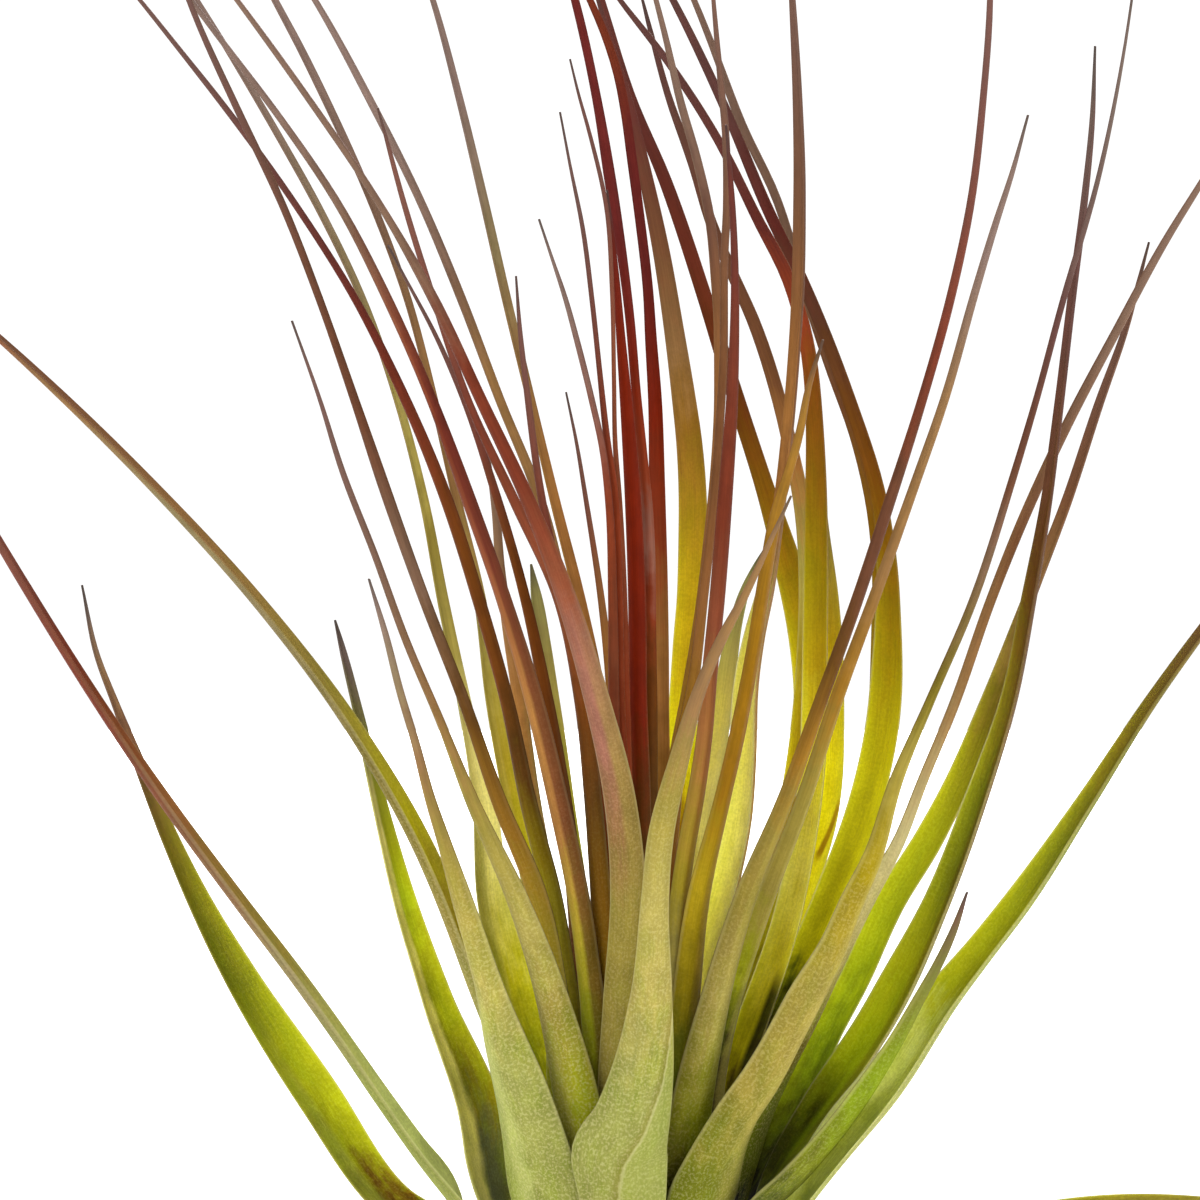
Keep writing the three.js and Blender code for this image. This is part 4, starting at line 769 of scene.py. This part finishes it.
class Tree:
    """Builds one material's nodes"""

    def __init__(self, name):
        self.material = bpy.data.materials.new(name)
        self.material.use_nodes = True
        self.tree = self.material.node_tree
        self.tree.nodes.clear()

    def node(self, kind, settings=None, inputs=None):
        made = self.tree.nodes.new("ShaderNode" + kind)
        for key, value in (settings or {}).items():
            setattr(made, key, value)
        for key, value in (inputs or {}).items():
            if isinstance(value, bpy.types.NodeSocket):
                self.tree.links.new(value, made.inputs[key])
            else:
                made.inputs[key].default_value = value
        return made

    def value(self, name):
        return self.node("Attribute", {"attribute_name": name}).outputs["Fac"]

    def vector(self, name):
        return self.node("Attribute", {"attribute_name": name}).outputs["Vector"]

    def maths(self, kind, a, b=0.0):
        return self.node("Math", {"operation": kind}, {0: a, 1: b}).outputs[0]

    def times(self, a, b):
        return self.maths("MULTIPLY", a, b)

    def plus(self, a, b):
        return self.maths("ADD", a, b)

    def minus(self, a, b):
        return self.maths("SUBTRACT", a, b)

    def smooth(self, value, low, high, start=0.0, end=1.0):
        settings = {"interpolation_type": "SMOOTHSTEP"}
        inputs = {"Value": value, "From Min": low, "From Max": high, "To Min": start, "To Max": end}
        return self.node("MapRange", settings, inputs).outputs[0]

    def mix(self, share, a, b):
        return self.node("Mix", {"data_type": "RGBA"}, {0: share, 6: a, 7: b}).outputs[2]

    def noise(self, vector, scale, detail, rough):
        place = self.node("VectorMath", {"operation": "MULTIPLY"}, {0: vector, 1: scale})
        inputs = {"Vector": place.outputs[0], "Scale": 1.0, "Detail": detail, "Roughness": rough}
        return self.node("TexNoise", None, inputs).outputs["Fac"]

    def ramp(self, share, stops):
        made = self.node("ValToRGB", None, {"Fac": share})
        elements = made.color_ramp.elements
        elements.remove(elements[1])
        for i, (place, colour) in enumerate(stops):
            element = elements[0] if i == 0 else elements.new(place)
            element.position = place
            element.color = rgb(colour)
        return made.outputs["Color"]

    def surface(self, inputs):
        """Ends the material with its shader"""
        shader = self.node("BsdfPrincipled", None, inputs)
        self.node("OutputMaterial", None, {"Surface": shader.outputs[0]})
        return self.material


def stops(text):
    parts = [part.split() for part in text.split(",")]
    return [(clamp(float(height) / HIGH, 0, 1), colour) for colour, height in parts]


def leaf_material(name, tint, outer_text, inner_text):
    t = Tree("leaf_" + name)
    scurf = SCURF.get(name, SCURF[tint])
    grain = t.vector("grain")
    inner = t.value("inner")
    edge = t.value("edge")
    rise = t.value("rise")
    tip = t.value("tip")
    across = t.value("across")
    side = t.maths("ABSOLUTE", across)
    broad = t.smooth(t.value("broad"), 0.7, 2.4)
    low = t.smooth(rise, 0.2, 0.4, 1.0, 0.0)
    # Streaks run along the leaf, and mottling lies over them
    streak = t.noise(grain, STREAKS, 4, 0.6)
    fibre = t.noise(grain, FIBRES, 3, 0.6)
    mottle = t.noise(grain, MOTTLES, 3, 0.6)
    shift = t.plus(t.times(streak, 0.05), t.times(mottle, 0.07))
    place = t.plus(rise, t.minus(shift, 0.06))
    colour = t.mix(inner, t.ramp(place, stops(outer_text)), t.ramp(place, stops(inner_text)))
    # One half of a leaf tinted: partly its own colour, partly painted light and shade
    for leaf, where, half_tint_and_shade, strength, fade_from, fade_to in HALF_TINTS_AND_SHADE:
        if leaf != name:
            continue
        toward = t.times(across, 1 if where == "left" else -1)
        half = t.smooth(t.plus(toward, t.times(mottle, 0.3)), 0.05, 0.45)
        fade = t.smooth(rise, fade_from / HIGH, fade_to / HIGH, strength, 0.0)
        colour = t.mix(t.times(half, fade), colour, rgb(half_tint_and_shade))
    # Greener patches lie on the sheaths
    patch = t.smooth(t.noise(grain, PATCHES, 3, 0.6), 0.45, 0.65, 0.0, 0.35 * scurf)
    colour = t.mix(t.times(patch, low), colour, rgb("grass"))
    # Fibres and mottling darken and lighten it, and painted shade darkens a channelled leaf toward
    # its sides, where its curved faces turn from the light
    tone = t.smooth(fibre, 0.3, 0.7, 0.9, 1.08)
    tone = t.times(tone, t.smooth(mottle, 0.3, 0.7, 0.88, 1.1))
    tone = t.times(tone, t.smooth(side, 0.4, 0.95, 1.03, 0.9))
    # The skin itself is finely grained all over
    specks = t.noise(grain, SPECKS, 3, 0.65)
    grains = t.times(broad, t.smooth(specks, 0.38, 0.62, -0.08, 0.09))
    tone = t.times(tone, t.plus(1.0, grains))
    bright = t.node("HueSaturation", None, {"Value": tone, "Color": colour})
    colour = bright.outputs[0]
    # Silvery scales, thickest on the outer face near the base
    scales = t.smooth(specks, 0.5, 0.6)
    outer_share = t.minus(1.0, t.times(inner, 0.85))
    cover = t.smooth(rise, 0.12, 0.55, 0.6 * scurf, 0.15 * scurf)
    cover = t.times(t.times(cover, broad), outer_share)
    # Neither scales nor margins show where the colour is painted dark as the shade of the hollows
    # between the leaves
    lit = t.smooth(t.node("RGBToBW", None, {"Color": colour}).outputs[0], *DARK)
    cover = t.times(cover, lit)
    pale = t.mix(0.5, colour, rgb("cream"))
    colour = t.mix(t.times(scales, cover), colour, pale)
    # Pale margins with a broken edge, fainter higher up: partly the pale scurf of the margins and
    # partly a painted highlight where the thin edges catch the light
    ragged = t.plus(edge, t.times(t.minus(specks, 0.5), 0.5))
    margin_and_highlight = t.times(t.smooth(ragged, 0.06, 0.3, 0.35, 0.0), t.smooth(side, 0.72, 0.92))
    margin_and_highlight = t.times(margin_and_highlight, t.smooth(rise, 0.35, 0.65, 1.0, 0.3))
    margin_and_highlight = t.times(t.times(margin_and_highlight, broad), lit)
    colour = t.mix(margin_and_highlight, colour, pale)
    height = t.plus(t.times(fibre, 0.6), t.times(scales, 0.5))
    if name == OVERLAP_LEAF:
        start, over = OVERLAP
        way = t.maths("DIVIDE", t.minus(start / HIGH, rise), over / HIGH)
        wavy = t.times(t.minus(mottle, 0.5), 0.2)
        beyond = t.minus(t.plus(way, wavy), across)
        lap = t.smooth(beyond, -0.03, 0.03)
        # Painted shadow on the sheath beside the overlapping margin
        overlap_shadow = t.smooth(beyond, -0.25, -0.03, 0.0, 0.35)
        overlap_shadow = t.times(overlap_shadow, t.minus(1.0, lap))
        colour = t.mix(overlap_shadow, colour, rgb("olive"))
        colour = t.mix(t.times(lap, 0.3), colour, rgb("fern"))
        rim = t.smooth(t.maths("ABSOLUTE", t.minus(beyond, 0.03)), 0.01, 0.06, 0.3, 0.0)
        colour = t.mix(rim, colour, rgb("cream"))
        height = t.plus(height, t.times(lap, 2.5))
    if name == BRUISE_LEAF:
        low, high, first, last, width = BRUISE
        way = t.maths("DIVIDE", t.minus(rise, low / HIGH), (high - low) / HIGH)
        line = t.plus(t.times(way, last - first), first)
        apart = t.maths("ABSOLUTE", t.minus(across, line))
        within = t.times(t.smooth(way, -0.1, 0.15), t.smooth(way, 0.9, 1.2, 1.0, 0.0))
        bruise = t.times(within, t.smooth(apart, 0.3 * width, width, 0.75, 0.0))
        colour = t.mix(bruise, colour, rgb("amber"))
    # A leaf greys upward, and its tip dries out
    greying = GREYING.get(name, GREYING[tint])
    colour = t.mix(t.smooth(tip, 0.02, 0.35, greying, 0.0), colour, rgb("dust"))
    colour = t.mix(t.smooth(tip, 0.005, 0.05, 0.6, 0.0), colour, rgb("ash"))
    bump_strength = t.times(broad, t.smooth(rise, 0.3, 0.5, 0.4, 0.1))
    bump = t.node("Bump", None, {"Strength": bump_strength, "Distance": RELIEF, "Height": height})
    glow = GLOW.get(name, GLOW[tint])
    if glow:
        glow = t.times(t.smooth(rise, 0.38, 0.62, glow, 0.0), broad)
    return t.surface({
        "Base Color": colour,
        "Roughness": t.smooth(specks, 0.35, 0.7, 0.5, 0.72),
        "Normal": bump.outputs[0],
        "Specular IOR Level": 0.07,
        "Subsurface Weight": glow,
        "Subsurface Radius": (1.0, 1.0, 0.3),
        "Subsurface Scale": 0.003,
    })


def stem_material():
    t = Tree("stem_bark")
    place = t.node("TexCoord").outputs["Object"]
    rings = t.noise(place, (250, 250, 1400), 4, 0.6)
    flakes = t.noise(place, (900, 900, 500), 3, 0.6)
    colour = t.ramp(rings, [(0.3, "bark"), (0.5, "umber"), (0.7, "tan")])
    bump = t.node("Bump", None, {"Strength": 0.7, "Distance": 0.0004,
                                 "Height": t.plus(rings, flakes)})
    return t.surface({
        "Base Color": colour,
        "Roughness": t.smooth(flakes, 0.3, 0.7, 0.7, 0.95),
        "Normal": bump.outputs[0],
    })


# Pieces


def add_leaf(name, tint, points, azimuth, turn, form, seed):
    mesh = leaf_mesh(name + "_fine", points, azimuth, turn, form, seed)
    mesh.materials.append(leaf_material(name, tint, *LOOKS[name]))
    piece = bpy.data.objects.new(name + "_fine", mesh)
    bpy.context.scene.collection.objects.link(piece)
    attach(piece, "root")
    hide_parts(name)


for rank, (name, tint, degrees, bend, reach) in enumerate(LOW):
    far = reach[-1][0]
    path = []
    for r, z, width in reach:
        angle = math.radians(degrees + bend * (r / far) ** 2)
        path.append((r * math.cos(angle), r * math.sin(angle), z, width, r * LOW_RISE))
    azimuth, root = with_root(rank, path[0])
    add_leaf(name, tint, root + path, azimuth, 0, LOW_FORM, rank)

for i, (name, tint, turn, drawn) in enumerate(LEAVES):
    path = drawn_path(drawn)
    azimuth, root = with_root(len(LOW) + i, path[0])
    if turn is None:
        turn = RING_TURN * abs(math.cos(azimuth)) * math.copysign(1, math.sin(azimuth))
    add_leaf(name, tint, root + path, azimuth, turn, LEAF_FORM, len(LOW) + i)

for i, (name, tint, root, degrees, drawn) in enumerate(CROWN):
    base = [(*root, z, CROWN_ROOT_WIDTH, 0) for z in (CROWN_HEIGHT + SEAT, CROWN_HEIGHT + 2)]
    points = base + drawn_path(drawn)
    add_leaf(name, tint, points, math.radians(degrees), 0, CROWN_FORM, CROWN_SEED + i)

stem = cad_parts["stem"]
stem.data.materials.clear()
stem.data.materials.append(stem_material())

# Floor, light and camera


def add_floor():
    mesh = bpy.data.meshes.new("floor")
    h = FLOOR / 2
    mesh.from_pydata([(-h, -h, 0), (h, -h, 0), (h, h, 0), (-h, h, 0)], [], [(0, 1, 2, 3)])
    piece = bpy.data.objects.new("floor", mesh)
    bpy.context.scene.collection.objects.link(piece)
    mesh.materials.append(Tree("floor_white").surface({
        "Base Color": (0.9, 0.9, 0.9, 1),
        "Roughness": 0.9,
        "Specular IOR Level": 0.1,
        "Emission Color": WHITE,
        "Emission Strength": 0.4,
    }))


def add_light(name, place, size, watts):
    data = bpy.data.lights.new(name, "AREA")
    data.size = size
    data.energy = watts
    light = bpy.data.objects.new(name, data)
    light.location = place
    light.rotation_euler = (Vector(MIDDLE) - Vector(place)).to_track_quat("-Z", "Y").to_euler()
    light.visible_camera = False
    bpy.context.scene.collection.objects.link(light)


def add_sky(strength):
    made = sky.nodes.new("ShaderNodeBackground")
    made.inputs["Color"].default_value = WHITE
    made.inputs["Strength"].default_value = strength
    return made.outputs[0]


add_floor()
for light in LIGHTS:
    add_light(*light)

world = bpy.data.worlds.new("studio")
bpy.context.scene.world = world
world.use_nodes = True
sky = world.node_tree
sky.nodes.clear()
seen_sky, lit_sky = add_sky(SKY_SEEN), add_sky(SKY_LIGHT)
rays = sky.nodes.new("ShaderNodeLightPath")
joined = sky.nodes.new("ShaderNodeMixShader")
out = sky.nodes.new("ShaderNodeOutputWorld")
sky.links.new(rays.outputs["Is Camera Ray"], joined.inputs[0])
sky.links.new(lit_sky, joined.inputs[1])
sky.links.new(seen_sky, joined.inputs[2])
sky.links.new(joined.outputs[0], out.inputs[0])

camera_data = bpy.data.cameras.new("camera")
camera_data.sensor_width = 36
camera_data.lens = 210
camera_data.clip_start = 0.05
camera_data.clip_end = 20
camera = bpy.data.objects.new("camera", camera_data)
camera.location = EYE * MM
camera.rotation_euler = (math.pi / 2 - TIP, 0, 0)
bpy.context.scene.collection.objects.link(camera)
bpy.context.scene.camera = camera

bpy.context.scene.view_settings.view_transform = "Standard"
